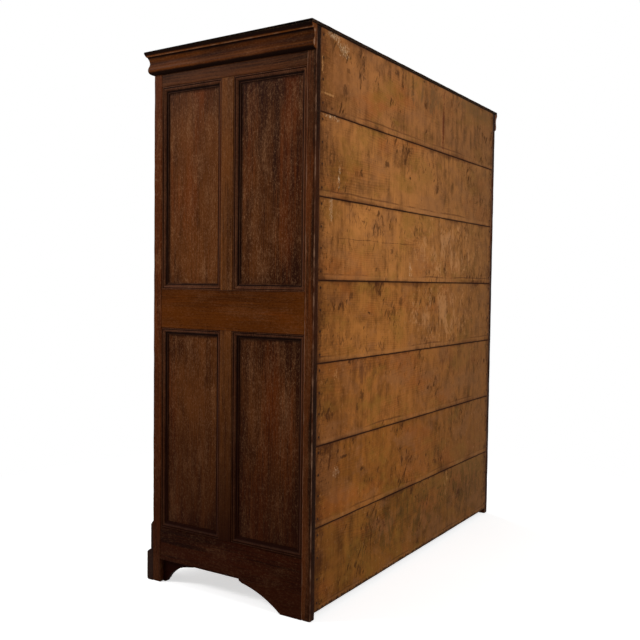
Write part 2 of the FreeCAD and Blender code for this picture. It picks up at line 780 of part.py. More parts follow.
cornice_reach = half_width + s.cornice_projection
cornice_front = front - s.cornice_projection
saw_top = carcase_top + s.overrun
saw_drop = s.cornice_height + 2 * s.overrun
body, planes = body_of("front_cornice_body")
padded(body, planes["YZ_Plane"], "front_cornice_pad", -cornice_reach, cornice_profile(front, -1),
       2 * cornice_reach)
for side_name, side in SIDES.items():
    pocketed(body, planes["XY_Plane"], side_name + "_front_mitre", saw_top, [
        (side * (half_width - s.overrun), front + s.overrun),
        (side * (cornice_reach + s.overrun), cornice_front - s.overrun),
        (side * (cornice_reach + s.overrun), front + s.overrun),
    ], saw_drop)
keep("front_cornice", body)
for side_name, side in SIDES.items():
    body, planes = body_of(side_name + "_cornice_body")
    padded(body, planes["XZ_Plane"], side_name + "_cornice_pad", -back,
           cornice_profile(side * half_width, side), back - cornice_front)
    pocketed(body, planes["XY_Plane"], side_name + "_return_mitre", saw_top, [
        (side * (half_width - s.overrun), front + s.overrun),
        (side * (cornice_reach + s.overrun), cornice_front - s.overrun),
        (side * (half_width - s.overrun), cornice_front - s.overrun),
    ], saw_drop)
    keep(side_name + "_cornice", body)

body, planes = body_of("top_board_body")
top_pad = padded(body, planes["XY_Plane"], "top_board_pad", carcase_top, [
    (-cornice_reach, cornice_front),
    (cornice_reach, cornice_front),
    (cornice_reach, back),
    (-cornice_reach, back),
], s.top_board_thickness)
doc.recompute()
top_level = carcase_top + s.top_board_thickness
rounded = [f"Edge{number}" for number, edge in enumerate(top_pad.Shape.Edges, start=1)
           if abs(edge.BoundBox.ZMin - top_level.number) < EDGE_MATCH
           and edge.BoundBox.YMin < front.number]
fillet = body.newObject("PartDesign::Fillet", "top_board_fillet")
fillet.Base = (top_pad, rounded)
fillet.setExpression("Radius", s.top_board_round.words)
keep("top_board", body)


# Bottom board, shelves and bearers

def shelf_outline(front_edge, notched):
    """A board between the ends, cut round the rear stiles and, where notched, round the posts."""
    side_edge = end_inside - s.shelf_play
    rear_notch_x = lip_inside - s.shelf_play
    rear_notch_y = rear_stile_front - s.shelf_play
    rear_edge = board_front - s.shelf_play
    right = [(side_edge, rear_notch_y), (rear_notch_x, rear_notch_y), (rear_notch_x, rear_edge)]
    if notched:
        post_notch_x = post_inside - s.shelf_play
        post_notch_y = post_back + s.shelf_play
        right = [(post_notch_x, front_edge), (post_notch_x, post_notch_y), (side_edge, post_notch_y)] + right
    else:
        right = [(side_edge, front_edge)] + right
    return right + [(-x, y) for x, y in reversed(right)]


body, planes = body_of("bottom_board_body")
stop_face = front + s.door_thickness + s.door_stop_play
padded(body, planes["XY_Plane"], "bottom_board_pad", bottom_board_top - s.bottom_board_thickness,
       shelf_outline(stop_face, True), s.bottom_board_thickness)
keep("bottom_board", body)

middle_shelf_level = (middle_rail[0] + middle_rail[1]) / 2
shelves = {
    "lower_shelf": bottom_board_top + LOWER_SHELF_SHARE * (middle_shelf_level - bottom_board_top),
    "middle_shelf": middle_shelf_level,
    "upper_shelf": middle_shelf_level + UPPER_SHELF_SHARE * (carcase_top - middle_shelf_level),
}
for name, level in shelves.items():
    body, planes = body_of(name + "_body")
    shelf_front = front + s.shelf_setback
    shelf_pad = padded(body, planes["XY_Plane"], name + "_pad", level, shelf_outline(shelf_front, False),
                       s.shelf_thickness)
    doc.recompute()
    nosing = [f"Edge{number}" for number, edge in enumerate(shelf_pad.Shape.Edges, start=1)
              if edge.BoundBox.YMax < shelf_front.number + EDGE_MATCH
              and edge.BoundBox.ZMin > level.number + EDGE_MATCH]
    fillet = body.newObject("PartDesign::Fillet", name + "_nosing")
    fillet.Base = (shelf_pad, nosing)
    fillet.setExpression("Radius", s.shelf_round.words)
    keep(name, body)

bearers = []
for side_name, side in SIDES.items():
    face = EndFace(side)
    depth = (s.end_thickness, s.end_thickness + s.bearer_width)
    for name, level in {**shelves, "bottom_board": bottom_board_top - s.bottom_board_thickness}.items():
        up = (level - s.bearer_height, level)
        bearers.append(face.block(f"{side_name}_{name}_bearer", end_run, depth, up))
keep("shelf_bearers", compound("bearer_set", bearers))


# Doors

lock_level = (middle_rail[0] + middle_rail[1]) / 2 - s.lock_drop
knob_level = lock_level + s.lock_case_height / 2 + s.knob_rise
knob_x = s.meeting_gap / 2 + s.door_stile_width / 2
lock_zs = (lock_level - s.lock_case_height / 2, lock_level + s.lock_case_height / 2)
lock_x = s.meeting_gap / 2
lock_ys = (front + s.door_thickness - s.lock_case_depth, front + s.door_thickness)
lock_bolt_ys = ((lock_ys[0] + lock_ys[1] - s.lock_bolt_thickness) / 2,
                (lock_ys[0] + lock_ys[1] + s.lock_bolt_thickness) / 2)
lock_bolt_zs = (lock_level - s.lock_bolt_height / 2, lock_level + s.lock_bolt_height / 2)
lock_bolt_xs = (lock_x, lock_x + s.lock_bolt_length)
bolt_room_ys = inset(lock_bolt_ys, -s.lock_bolt_play)
bolt_room_zs = inset(lock_bolt_zs, -s.lock_bolt_play)

keyhole_x = lock_x + s.keyhole_set
keyhole_ys = (front - s.overrun, lock_ys[1] - s.lock_back_wall)


def keyhole(name):
    """A round eye with a slot hanging from it, from the door's face into the lock."""
    eye = cylinder(name + "_eye", s.keyhole_radius, keyhole_ys[1] - keyhole_ys[0],
                   (keyhole_x, keyhole_ys[1], keyhole_level), (1, 0, 0))
    slot_xs = inset((keyhole_x, keyhole_x), -s.keyhole_slot_width / 2)
    slot = block(name + "_slot", slot_xs, keyhole_ys, (keyhole_level - s.keyhole_slot_length, keyhole_level))
    return fuse(name, [eye, slot])


keyhole_level = lock_bolt_zs[0] - s.keyhole_radius - s.lock_bolt_play
door_up = (door_bottom, door_top)
for side_name, side in SIDES.items():
    if side > 0:
        run = (s.meeting_gap / 2, post_inside - hinge_gap)
        meeting = (run[0], run[0] + s.door_stile_width)
        hinged = (run[1] - s.door_stile_width, run[1])
        rail_run = (meeting[1], hinged[0])
    else:
        run = (hinge_gap - post_inside, -s.meeting_gap / 2)
        meeting = (run[1] - s.door_stile_width, run[1])
        hinged = (run[0], run[0] + s.door_stile_width)
        rail_run = (hinged[1], meeting[0])
    bottom_rail = (door_bottom, door_bottom + s.door_bottom_rail_height)
    top_rail = (door_top - s.door_top_rail_height, door_top)
    door = frame_and_panels(
        side_name + "_door", DoorFace(), s.door_thickness, DOOR_RECESS_SHARE,
        stiles={"meeting_stile": (meeting, door_up), "hinge_stile": (hinged, door_up)},
        rails={"top_rail": (rail_run, top_rail),
               "lock_rail": (rail_run, middle_rail),
               "bottom_rail": (rail_run, bottom_rail)},
        muntins={},
        openings=[(rail_run, (bottom_rail[1], middle_rail[0])), (rail_run, (middle_rail[1], top_rail[0]))])
    if side > 0:
        housing = block("lock_housing", (lock_x - s.overrun, lock_x + s.lock_case_width),
                        (lock_ys[0], lock_ys[1] + s.overrun), lock_zs)
        spigot_hole = cylinder(
            "knob_hole", s.knob_spigot_radius + s.knob_fit, s.knob_spigot_length + s.overrun,
            (knob_x, front + s.knob_spigot_length, knob_level), (1, 0, 0))
        stile = cut("meeting_stile_housed", door["meeting_stile"], housing)
        stile = cut("meeting_stile_keyed", stile, keyhole("stile_keyhole"))
        door["meeting_stile"] = cut("meeting_stile_bored", stile, spigot_hole)
    else:
        strike = block("strike_mortise",
                       (lock_x - s.lock_bolt_throw - s.keeper_spare, as_size(0)),
                       bolt_room_ys, bolt_room_zs)
        door["meeting_stile"] = cut("meeting_stile_struck", door["meeting_stile"], strike)
    for name, member in door.items():
        keep(f"{side_name}_door_{name}", member)


# Hinges: knuckles turn about the pins just in front of the carcase

hinge_levels = (door_bottom + s.hinge_end_distance, (door_bottom + door_top) / 2,
                door_top - s.hinge_end_distance)
leaf_ys = (front, front + s.door_thickness - s.hinge_leaf_setback)
frame_leaves = []
for side_name, side in SIDES.items():
    door_leaves = []
    for count, middle in enumerate(hinge_levels):
        low = middle - s.hinge_height / 2
        name = f"{side_name}_hinge_{count}"
        axis = (side * hinge_axis_x, hinge_axis_y)
        parts = {"frame": [], "door": []}
        plates = {"frame": (post_inside - s.hinge_leaf_thickness, post_inside),
                  "door": (post_inside - hinge_gap, post_inside - hinge_gap + s.hinge_leaf_thickness)}
        for leaf, (near, far) in plates.items():
            xs = (near, far) if side > 0 else (-far, -near)
            parts[leaf].append(block(f"{name}_{leaf}_plate", xs, leaf_ys, (low, low + s.hinge_height)))
        for number in range(len(KNUCKLE_SHARES) - 1):
            leaf = "frame" if number % 2 == 0 else "door"
            bottom = low + KNUCKLE_SHARES[number] * s.hinge_height
            top = low + KNUCKLE_SHARES[number + 1] * s.hinge_height
            if leaf == "door":
                bottom, top = bottom + s.knuckle_play, top - s.knuckle_play
            near, far = plates[leaf]
            xs = (near, far) if side > 0 else (-far, -near)
            parts[leaf].append(cylinder(f"{name}_knuckle_{number}", s.knuckle_radius, top - bottom,
                                        (axis[0], axis[1], bottom)))
            parts[leaf].append(block(f"{name}_tab_{number}", xs, (hinge_axis_y, front), (bottom, top)))
        for leaf, shapes in parts.items():
            bore = cylinder(f"{name}_{leaf}_bore", s.pin_radius + s.pin_fit, s.hinge_height + 2 * s.overrun,
                            (axis[0], axis[1], low - s.overrun))
            shaped = cut(f"{name}_{leaf}_leaf", fuse(f"{name}_{leaf}_blank", shapes), bore)
            (frame_leaves if leaf == "frame" else door_leaves).append(shaped)
        shank = cylinder(name + "_shank", s.pin_radius, s.hinge_height, (axis[0], axis[1], low))
        head = cylinder(name + "_pin_head", s.pin_head_radius, s.pin_head_height,
                        (axis[0], axis[1], low + s.hinge_height))
        frame_leaves.append(fuse(name + "_pin", [shank, head]))
    keep(side_name + "_door_hinge_leaves", compound(side_name + "_door_leaf_set", door_leaves))
keep("post_hinge_leaves", compound("post_leaf_set", frame_leaves))


# Knob, turned about its own axis

body, planes = body_of("knob_body")
profile = outline(body, planes["XZ_Plane"], "knob_profile", 0, [
    (0, -s.knob_spigot_length),
    (s.knob_spigot_radius, -s.knob_spigot_length),
    (s.knob_spigot_radius, 0),
    (s.knob_base_radius, 0),
    (s.knob_base_radius, s.knob_base_height, KNOB_COVE_SHARE),
    (s.knob_neck_radius, s.knob_neck_height, -KNOB_BREAST_SHARE),
    (s.knob_radius, s.knob_reach - s.knob_dome_radius, -QUARTER_CIRCLE_SHARE),
    (s.knob_radius - s.knob_dome_radius, s.knob_reach),
    (0, s.knob_reach),
])
knob = body.newObject("PartDesign::Revolution", "knob_turning")
knob.Profile = profile
knob.ReferenceAxis = (profile, ["V_Axis"])
knob.Angle = FULL_TURN
doc.recompute()
body.Placement = FreeCAD.Placement(FreeCAD.Vector(), FreeCAD.Rotation(FreeCAD.Vector(1, 0, 0), QUARTER_TURN))
for letter, value in zip("xyz", (knob_x, front, knob_level)):
    body.setExpression(f"Placement.Base.{letter}", value.words)
keep("door_knob", body)


# Lock: its case with the bolt's channel, and the bolt drawn back

case = block("lock_case_blank", (lock_x, lock_x + s.lock_case_width), lock_ys, lock_zs)
channel_xs = (lock_x - s.overrun, lock_bolt_xs[1] + s.lock_tail_room)
channel = block("lock_channel", channel_xs, bolt_room_ys, bolt_room_zs)
case = cut("lock_case_channelled", case, channel)
keep("lock_case", cut("lock_case_keyed", case, keyhole("case_keyhole")))

body, planes = body_of("lock_bolt_body")
padded(body, planes["XZ_Plane"], "lock_bolt_pad", -lock_bolt_ys[1], [
    (lock_bolt_xs[0], lock_bolt_zs[0]),
    (lock_bolt_xs[1], lock_bolt_zs[0]),
    (lock_bolt_xs[1], lock_bolt_zs[1]),
    (lock_bolt_xs[0], lock_bolt_zs[1]),
], s.lock_bolt_thickness)
keep("lock_bolt", body)


# Tower bolt on the inside of the left door

plate_top = door_top - s.bolt_plate_drop
plate_zs = (plate_top - s.bolt_plate_height, plate_top)
door_inside = front + s.door_thickness
plate_ys = (door_inside, door_inside + s.bolt_plate_thickness)
plate_xs = (bolt_x - s.bolt_plate_width / 2, bolt_x + s.bolt_plate_width / 2)
staple_xs = (bolt_x - s.staple_width / 2, bolt_x + s.staple_width / 2)
staple_ys = (plate_ys[1], bolt_y + s.bolt_radius + s.staple_wall)
pieces = [block("bolt_plate_blank", plate_xs, plate_ys, plate_zs)]
staple_lows = (plate_zs[0] + s.staple_inset, plate_zs[1] - s.staple_inset - s.staple_height)
for count, low in enumerate(staple_lows):
    pieces.append(block(f"staple_{count}", staple_xs, staple_ys, (low, low + s.staple_height)))
way = cylinder("bolt_way", s.bolt_radius + s.bolt_play, s.bolt_plate_height + 2 * s.overrun,
               (bolt_x, bolt_y, plate_zs[0] - s.overrun))
keep("bolt_plate", cut("bolt_plate_bored", fuse("bolt_plate_stapled", pieces), way))

rod = cylinder("bolt_rod", s.bolt_radius, s.bolt_length, (bolt_x, bolt_y, bolt_top - s.bolt_length))
grip_level = (staple_lows[0] + s.staple_height + staple_lows[1] - s.bolt_throw) / 2
grip = cylinder("bolt_grip", s.bolt_grip_radius, s.bolt_radius + s.bolt_grip_length,
                (bolt_x, bolt_y, grip_level), (1, 0, 0), -QUARTER_TURN)
keep("door_bolt", fuse("door_bolt_gripped", [rod, grip]))


# Check every object, then write each piece

doc.recompute()
for thing in doc.Objects:
    if "Invalid" in thing.State or "Error" in thing.State:
        raise RuntimeError(f"{thing.Label} could not be worked out: {thing.State}")
for piece in nodes:
    shape = piece.Shape
    if shape.isNull() or not shape.isValid() or not shape.Solids:
        raise RuntimeError(f"{piece.Label} has no sound shape")
    shape.exportStep(f"parts/{piece.Label}.step")
print(len(nodes), "pieces written")
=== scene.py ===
"""The cupboard's looks: bare nailed back boards, stained and panelled ends and doors, a moulded cornice.

Metres, +Z up. The front faces -Y and the back +Y. Left and right are as seen from the front.
"""

import bpy
import math
import numpy as np
from mathutils import Matrix, Vector


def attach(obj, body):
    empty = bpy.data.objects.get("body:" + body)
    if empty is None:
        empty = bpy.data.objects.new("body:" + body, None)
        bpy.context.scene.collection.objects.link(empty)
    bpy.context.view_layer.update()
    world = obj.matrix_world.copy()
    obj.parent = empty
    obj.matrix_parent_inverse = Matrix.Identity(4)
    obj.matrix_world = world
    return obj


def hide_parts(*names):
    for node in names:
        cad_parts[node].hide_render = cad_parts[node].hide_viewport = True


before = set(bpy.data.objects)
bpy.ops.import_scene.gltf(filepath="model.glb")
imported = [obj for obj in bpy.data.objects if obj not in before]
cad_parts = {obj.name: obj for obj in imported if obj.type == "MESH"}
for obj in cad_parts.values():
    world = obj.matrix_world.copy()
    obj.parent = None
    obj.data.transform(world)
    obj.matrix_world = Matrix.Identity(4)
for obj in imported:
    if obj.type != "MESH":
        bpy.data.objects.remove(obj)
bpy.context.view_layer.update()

# Main planes. A pair is the least and the greatest coordinate, or depth in from a face
HALF = 0.7375
FRONT = -0.3055
BACK = 0.3395
TOP = 1.788
ROOF = 1.8
OVERHANG = 0.026
POST_IN = 0.6775
POST_BACK = -0.2715
STILE_FRONT = 0.3065
STILE_IN = 0.7125
LIP_IN = 0.6925
BOARD_FRONT = 0.3235
BOARD_HALF = 0.7117
BOARD_CLEAR = 0.022
MUNTIN = (-0.017, 0.031)
END_RAILS = {"bottom": (0.08, 0.192), "middle": (0.873, 1.002), "top": (1.675, TOP)}
END_FRAME_DEPTH = (0, 0.025)
END_PANEL_DEPTH = (0.013, 0.021)
END_TONGUE = 0.007
DOOR_RUN = (0.0015, 0.6741)
DOOR_STILE = 0.085
DOOR_THICK = 0.022
DOOR_RAILS = {"bottom": (0.209, 0.324), "lock": (0.873, 1.002), "top": (1.602, 1.687)}
DOOR_PANEL_DEPTH = (0.01012, 0.01716)
DOOR_TONGUE = 0.006
MOULDING = 0.022
NAIL_ASIDE = 0.6997
SIDES = {"left": -1, "right": 1}


# Numbers and colours that change over a surface

class Amount:
    """A shader's output with arithmetic: an expression on amounts adds its Math nodes."""

    def __init__(self, finish, socket):
        self.finish = finish
        self.socket = socket

    def calculate(self, operation, first, second):
        return self.finish.add("ShaderNodeMath", {"operation": operation}, {0: first, 1: second})

    def __add__(self, other):
        return self.calculate("ADD", self, other)

    def __sub__(self, other):
        return self.calculate("SUBTRACT", self, other)

    def __rsub__(self, other):
        return self.calculate("SUBTRACT", other, self)

    def __mul__(self, other):
        return self.calculate("MULTIPLY", self, other)

    def __truediv__(self, other):
        return self.calculate("DIVIDE", self, other)

    def largest(self, other):
        return self.calculate("MAXIMUM", self, other)

    def least(self, other):
        return self.calculate("MINIMUM", self, other)

    def part(self):
        return self.calculate("FRACT", self, 0.0)

    def root(self):
        return self.calculate("SQRT", self, 0.0)

    def size(self):
        return self.calculate("ABSOLUTE", self, 0.0)

    __radd__ = __add__
    __rmul__ = __mul__


class Finish:
    """A material or a world in the making."""

    def __init__(self, name, blocks=bpy.data.materials):
        self.block = blocks.new(name)
        self.block.use_nodes = True
        self.tree = self.block.node_tree
        self.tree.nodes.clear()
        self.colour = None

    def add(self, kind, settings, sockets, out=0):
        """Any node, by its type, its settings and the values or links of its sockets."""
        made = self.tree.nodes.new(kind)
        for name, value in settings.items():
            setattr(made, name, value)
        for name, value in sockets.items():
            if isinstance(value, Amount):
                self.tree.links.new(value.socket, made.inputs[name])
            else:
                made.inputs[name].default_value = value
        return Amount(self, made.outputs[out]) if len(made.outputs) else made

    def place(self):
        """Object coordinates as three amounts."""
        spot = self.add("ShaderNodeTexCoord", {}, {}, "Object")
        return [self.add("ShaderNodeSeparateXYZ", {}, {0: spot}, out) for out in range(3)]

    def cloud(self, place, detail, rough, twist=0.0, scale=1.0):
        """Smooth noise from 0 to 1, at a place of three amounts or numbers."""
        spot = self.add("ShaderNodeCombineXYZ", {}, dict(enumerate(place)))
        return self.add("ShaderNodeTexNoise", {}, {
            "Vector": spot, "Scale": scale, "Detail": detail, "Roughness": rough, "Distortion": twist})

    def rise(self, amount, low, high, to_low=0.0, to_high=1.0):
        """An S-shaped step from to_low to to_high while the amount goes from low to high."""
        return self.add("ShaderNodeMapRange", {"interpolation_type": "SMOOTHSTEP"}, {
            0: amount, 1: low, 2: high, 3: to_low, 4: to_high})

    def mix(self, first, second, share):
        """Two colours mixed by a share."""
        return self.add("ShaderNodeMix", {"data_type": "RGBA"}, {0: share, 6: first, 7: second}, 2)

    def lay(self, colour, share):
        """Lay a colour over those so far, by a share."""
        self.colour = self.mix(self.colour, colour, share)

    def bump(self, height, strength, distance):
        return self.add("ShaderNodeBump", {}, {"Height": height, "Strength": strength, "Distance": distance})

    def attribute(self, name):
        return self.add("ShaderNodeAttribute", {"attribute_name": name}, {}, "Fac")

    def seen(self):
        """1 for a ray that shows in the picture, straight or mirrored, and 0 for one that only lights."""
        camera, glossy, through = (self.add("ShaderNodeLightPath", {}, {}, name) for name in
                                   ("Is Camera Ray", "Is Glossy Ray", "Is Transmission Ray"))
        return camera.largest(glossy).largest(through)

    def done(self, roughness, normal, **constants):
        """Close the material with one shader. Constants go on the shader's own sockets."""
        sockets = {"Base Color": self.colour, "Roughness": roughness, "Normal": normal}
        sockets.update({name.replace("_", " "): value for name, value in constants.items()})
        shader = self.add("ShaderNodeBsdfPrincipled", {}, sockets)
        self.add("ShaderNodeOutputMaterial", {}, {"Surface": shader})
        return self.block


def paint(red, green, blue):
    """A colour given as it looks on a screen, 0 to 255, as the shader's linear colour."""
    shares = np.array([red, green, blue]) / 255
    linear = np.where(shares <= 0.04045, shares / 12.92, ((shares + 0.055) / 1.055) ** 2.4)
    return (*linear.tolist(), 1.0)


# Woods

# The width of a year's growth in each wood, and the pitch of the saw's marks on the bare boards
STAINED_YEAR, BARE_YEAR, INSIDE_YEAR = 0.0075, 0.0056, 0.008
SAW_PITCH = 0.0057


def near(amount, places):
    """The distance from an amount to the nearest of some places."""
    nearest = (amount - places[0]).size()
    for place in places[1:]:
        nearest = nearest.least((amount - place).size())
    return nearest


def hypotenuse(first, second):
    """The distance that two distances at a right angle add up to."""
    return (first * first + second * second).root()


def late_wood(finish, figure, spacing):
    """Dark late wood: it deepens slowly over each year's growth and ends sharply."""
    year = (figure / spacing).part()
    return finish.rise(year, 0.2, 0.85) * finish.rise(year, 0.88, 1.0, 1.0, 0.0)


def stained(name, lie, seed, dark, middle, warm, roughness=0.38, foot=0.0, streaks=1.0, rims=(),
            grime_and_shade=0.75, gloss=0.012, shades=(), scuffs=0.35, patches=1.6):
    """Old dark stain and polish over softwood.

    lie names the axes along the grain, across it and through it. Fine streaks run along the grain over broad
    patches of three browns, with paler scuffs. Arrises are worn pale, and a raised edge value warms the wood:
    handled wear on the arrises, and a painted highlight where a profile or a frame's strip raises it for
    light.
    A low edge value lays black: dirt in the quirks, and painted shade where a profile, a frame's strip or a
    piece lowers it for shade. Painted shade also lies on a face near given places, as rims of (axis, places,
    the face's least distance from the middle). Each of the shades, (axis, from, to, amount), darkens the wood
    beyond a place, or lightens it where the amount is below zero. foot is how strongly the wood is painted
    darker toward the floor, as shade.
    """
    finish = Finish(name)
    place = dict(zip("xyz", finish.place()))
    along, across, through = (place[letter] for letter in lie)
    along = along + seed * 1.7
    thick = through * 0.4 + seed
    slow = finish.cloud((along * 1.2, across * 5.0, thick), 2.0, 0.4)
    rings = late_wood(finish, across + thick * 0.9 + slow * 0.12, STAINED_YEAR)
    hair = finish.cloud((along * 16.0, across * 900.0, through * 900.0), 2.0, 0.6) - 0.5
    streak = finish.cloud((along * 3.0, across * 150.0, thick * 20.0), 3.0, 0.6) - 0.5
    band = finish.cloud((along * 1.1, across * 26.0, thick * 3.0), 2.0, 0.5) - 0.5
    patch = finish.cloud((along * 2.2, across * 6.0, thick), 4.0, 0.6, 0.4) - 0.5
    fleck = finish.cloud((along * 120.0, across * 230.0, through * 230.0), 4.0, 0.85)
    rub = finish.cloud((along * 7.0, across * 24.0, thick * 4.0), 4.0, 0.65, 0.4)
    tone = rings * 0.12 + (hair * 0.7 + streak * 0.8 + band * 0.7) * streaks - patch * patches
    for axis, start, stop, amount in shades:
        tone = tone + finish.rise(place[axis] + patch * 0.1, start, stop) * amount
    finish.colour = finish.mix(middle, dark, finish.rise(tone, -0.3, 0.7))
    glow = finish.cloud((along * 1.9, across * 11.0, thick + 5.0), 3.0, 0.55)
    finish.lay(warm, finish.rise(glow - hair * 0.3 - streak * 0.3, 0.48, 0.8) * 0.6)
    finish.lay(paint(122, 78, 46), finish.rise(rub, 0.5, 0.72) * scuffs * 0.5)
    finish.lay(paint(146, 104, 72), finish.rise(fleck + rub * 0.2, 0.58, 0.84) * scuffs)
    finish.lay(paint(20, 8, 4), finish.rise(fleck, 0.47, 0.28) * 0.6)
    edge = finish.attribute("edge")
    nibble = finish.cloud((along * 22.0, across * 50.0, through * 50.0), 3.0, 0.6) - 0.5
    # Warmer, lighter wood on a raised edge value: handled wear on the arrises, and a painted highlight on the
    # cornice's torus and on the moulding strips painted as lit
    finish.lay(warm, finish.rise(edge + nibble * 0.3, 0.05, 0.4) * 0.45)
    bare = finish.rise(edge + nibble * 1.6, 0.45, 1.1)
    # Black from a low edge value: dirt in the quirks, and painted shade where the value is lowered for shade
    soot_and_shade = finish.rise(edge + nibble * 0.5, -0.1, -0.75)
    # Painted shade on the face near each rim's places
    for axis, places, depth in rims:
        beside = near(place[axis], places) - 0.002
        faces_out = finish.rise(through.size(), depth - 0.001, depth + 0.001)
        painted_shading = finish.rise(beside + nibble * 0.016 - patch * 0.014, 0.009, -0.001)
        soot_and_shade = soot_and_shade.largest(painted_shading * faces_out * 0.8)
    finish.lay(paint(16, 7, 5), soot_and_shade * grime_and_shade)
    finish.lay(paint(150, 116, 92), bare * 0.6)
    # Painted shade: the wood grows darker toward the floor
    if foot:
        floor_shade = finish.rise(place["z"] + patch * 0.3 + streak * 0.1, 1.05, 0.0)
        finish.lay(paint(26, 4, 0), floor_shade * foot)
    rough = roughness - patch * 0.3 + bare * 0.25 + soot_and_shade * 0.25
    normal = finish.bump(hair * 0.5 - rings * 0.3 + fleck * 0.5 + nibble * 0.5, 0.3, 0.0007)
    return finish.done(rough, normal, Specular_IOR_Level=gloss)


def bare_board(name, seed, low, high, light, deep, nails, dull=0.0, cracks=(), marks=()):
    """Bare aged pine, sawn across: the saw's lines and drips run up the board, over faint rings and fibres.

    Flecks, slashes and scrapes lie over it, with fine ticks near the right end. nails are the nails' levels.
    A crack is (level, from, to) along X. A mark is a blot of a colour, as (x, z, half width, half height,
    colour, strength, fineness). It is broken into strokes if it has a fineness.
    """
    finish = Finish(name)
    x, y, z = finish.place()
    along = x + seed * 2.3
    slow = finish.cloud((along * 0.9, z * 4.0 + seed, y), 3.0, 0.5)
    rings = late_wood(finish, z * 0.8 + y + slow * 0.12, BARE_YEAR)
    fibre = finish.cloud((along * 9.0, z * 420.0, y * 420.0), 2.0, 0.6) - 0.5
    kerf = finish.cloud((along * 300.0 + z * 12.0, z * 3.0, 1.0), 2.0, 0.7) - 0.5
    saw = finish.cloud((along * 115.0 + z * 7.0, z * 2.0, 1.5), 1.0, 0.5) - 0.5
    drip = finish.cloud((along * 40.0, z * 2.6 + seed, 2.0), 3.0, 0.6) - 0.5
    blotch = finish.cloud((along * 4.5, z * 5.5, 3.0), 5.0, 0.62, 0.6) - 0.5
    cloudy = finish.cloud((along * 26.0, z * 15.0, 4.0), 4.0, 0.65, 0.4) - 0.5
    comb = ((along / SAW_PITCH + z * 1.5 + blotch * 2.0).part() - 0.5).size() - 0.25
    tan = finish.cloud((along * 3.0, z * 7.0, 6.0), 3.0, 0.6)
    grain = rings * finish.rise(tan, 0.42, 0.6, 0.02, 0.22) + fibre * 0.1
    sawn = kerf * 0.5 + saw * 0.35 + comb * finish.rise(slow, 0.4, 0.55) * 0.4
    stains = drip * 0.9 + blotch * 1.9 + cloudy * 1.5
    left_stains = (drip * 1.2 + cloudy * 1.4) * finish.rise(x, 0.1, -0.5)
    shade = grain + sawn + stains + left_stains + dull * 0.4
    finish.colour = finish.mix(light, deep, finish.rise(shade, -0.45, 0.95))
    finish.lay(paint(154, 86, 38), finish.rise(tan, 0.5, 0.7) * 0.5)
    moss = finish.cloud((along * 5.0, z * 9.0, 6.5), 4.0, 0.65)
    finish.lay(paint(130, 92, 36), finish.rise(moss, 0.5, 0.66) * 0.5)
    finish.lay(paint(136, 90, 56), finish.rise(moss, 0.5, 0.34) * 0.45)
    to_left = finish.rise(x + drip * 0.6 + blotch * 0.6, 0.35, -0.8)
    finish.lay(paint(104, 72, 44), to_left * 0.65)
    to_right = finish.rise(x + cloudy * 0.2 + drip * 0.1, 0.42, 0.7)
    finish.lay(paint(86, 46, 16), to_right * 0.4)
    wander = finish.cloud((along * 6.0, z * 11.0, 7.0), 1.0, 0.5) * 5.0
    smudge = finish.cloud((along * 50.0 + wander, z * 17.0, 8.0), 3.0, 0.6)
    crowd = finish.cloud((along * 5.0, z * 7.0, 9.0), 2.0, 0.5) - 0.5
    fleck = finish.rise(smudge + crowd * 0.7, 0.61, 0.76)
    finish.lay(paint(72, 40, 18), fleck * 0.6)
    slant = finish.cloud((along * 48.0 + z * 22.0, z * 17.0 - along * 8.0, 11.0), 3.0, 0.6)
    slash = finish.rise(slant + crowd * 0.6, 0.64, 0.71)
    finish.lay(paint(60, 33, 15), slash * 0.75)
    tick = finish.cloud((x * 30.0 + z * 40.0, z * 190.0, 12.0), 4.0, 0.75)
    ticks = finish.rise(tick, 0.5, 0.68) * finish.rise(x + cloudy * 0.1, 0.6, 0.7)
    finish.lay(paint(60, 31, 15), ticks * 0.6)
    scrape = finish.cloud((along * 110.0, z * 60.0, 14.0), 3.0, 0.65)
    finish.lay(paint(66, 36, 18), finish.rise(scrape + crowd * 0.3, 0.57, 0.74) * 0.6)
    finish.lay(paint(186, 132, 82), finish.rise(scrape, 0.42, 0.26) * 0.35)
    # Dirt along the two joints with a soft painted shade beside them, and the paler lip at the board's foot
    sway = finish.cloud((along * 3.5, z * 8.0, 10.0), 3.0, 0.5) - 0.5
    above = z - low + sway * 0.022
    lip = finish.rise(above, 0.022, 0.012) * finish.rise(sway, -0.16, 0.02)
    finish.lay(paint(160, 110, 68), lip * 0.22)
    line = finish.rise((above - 0.019).size(), 0.004, 0.0005) * finish.rise(sway + cloudy * 0.5, 0.08, -0.08)
    finish.lay(paint(72, 40, 24), line * 0.6)
    rim = finish.rise(near(z, (low, high)) - blotch * 0.07, 0.014, -0.004)
    finish.lay(paint(64, 32, 17), rim * 0.5)
    seam = finish.rise(near(z, (low, high)) - blotch * 0.004, 0.0038, 0.001)
    finish.lay(paint(36, 13, 8), seam * 0.85)
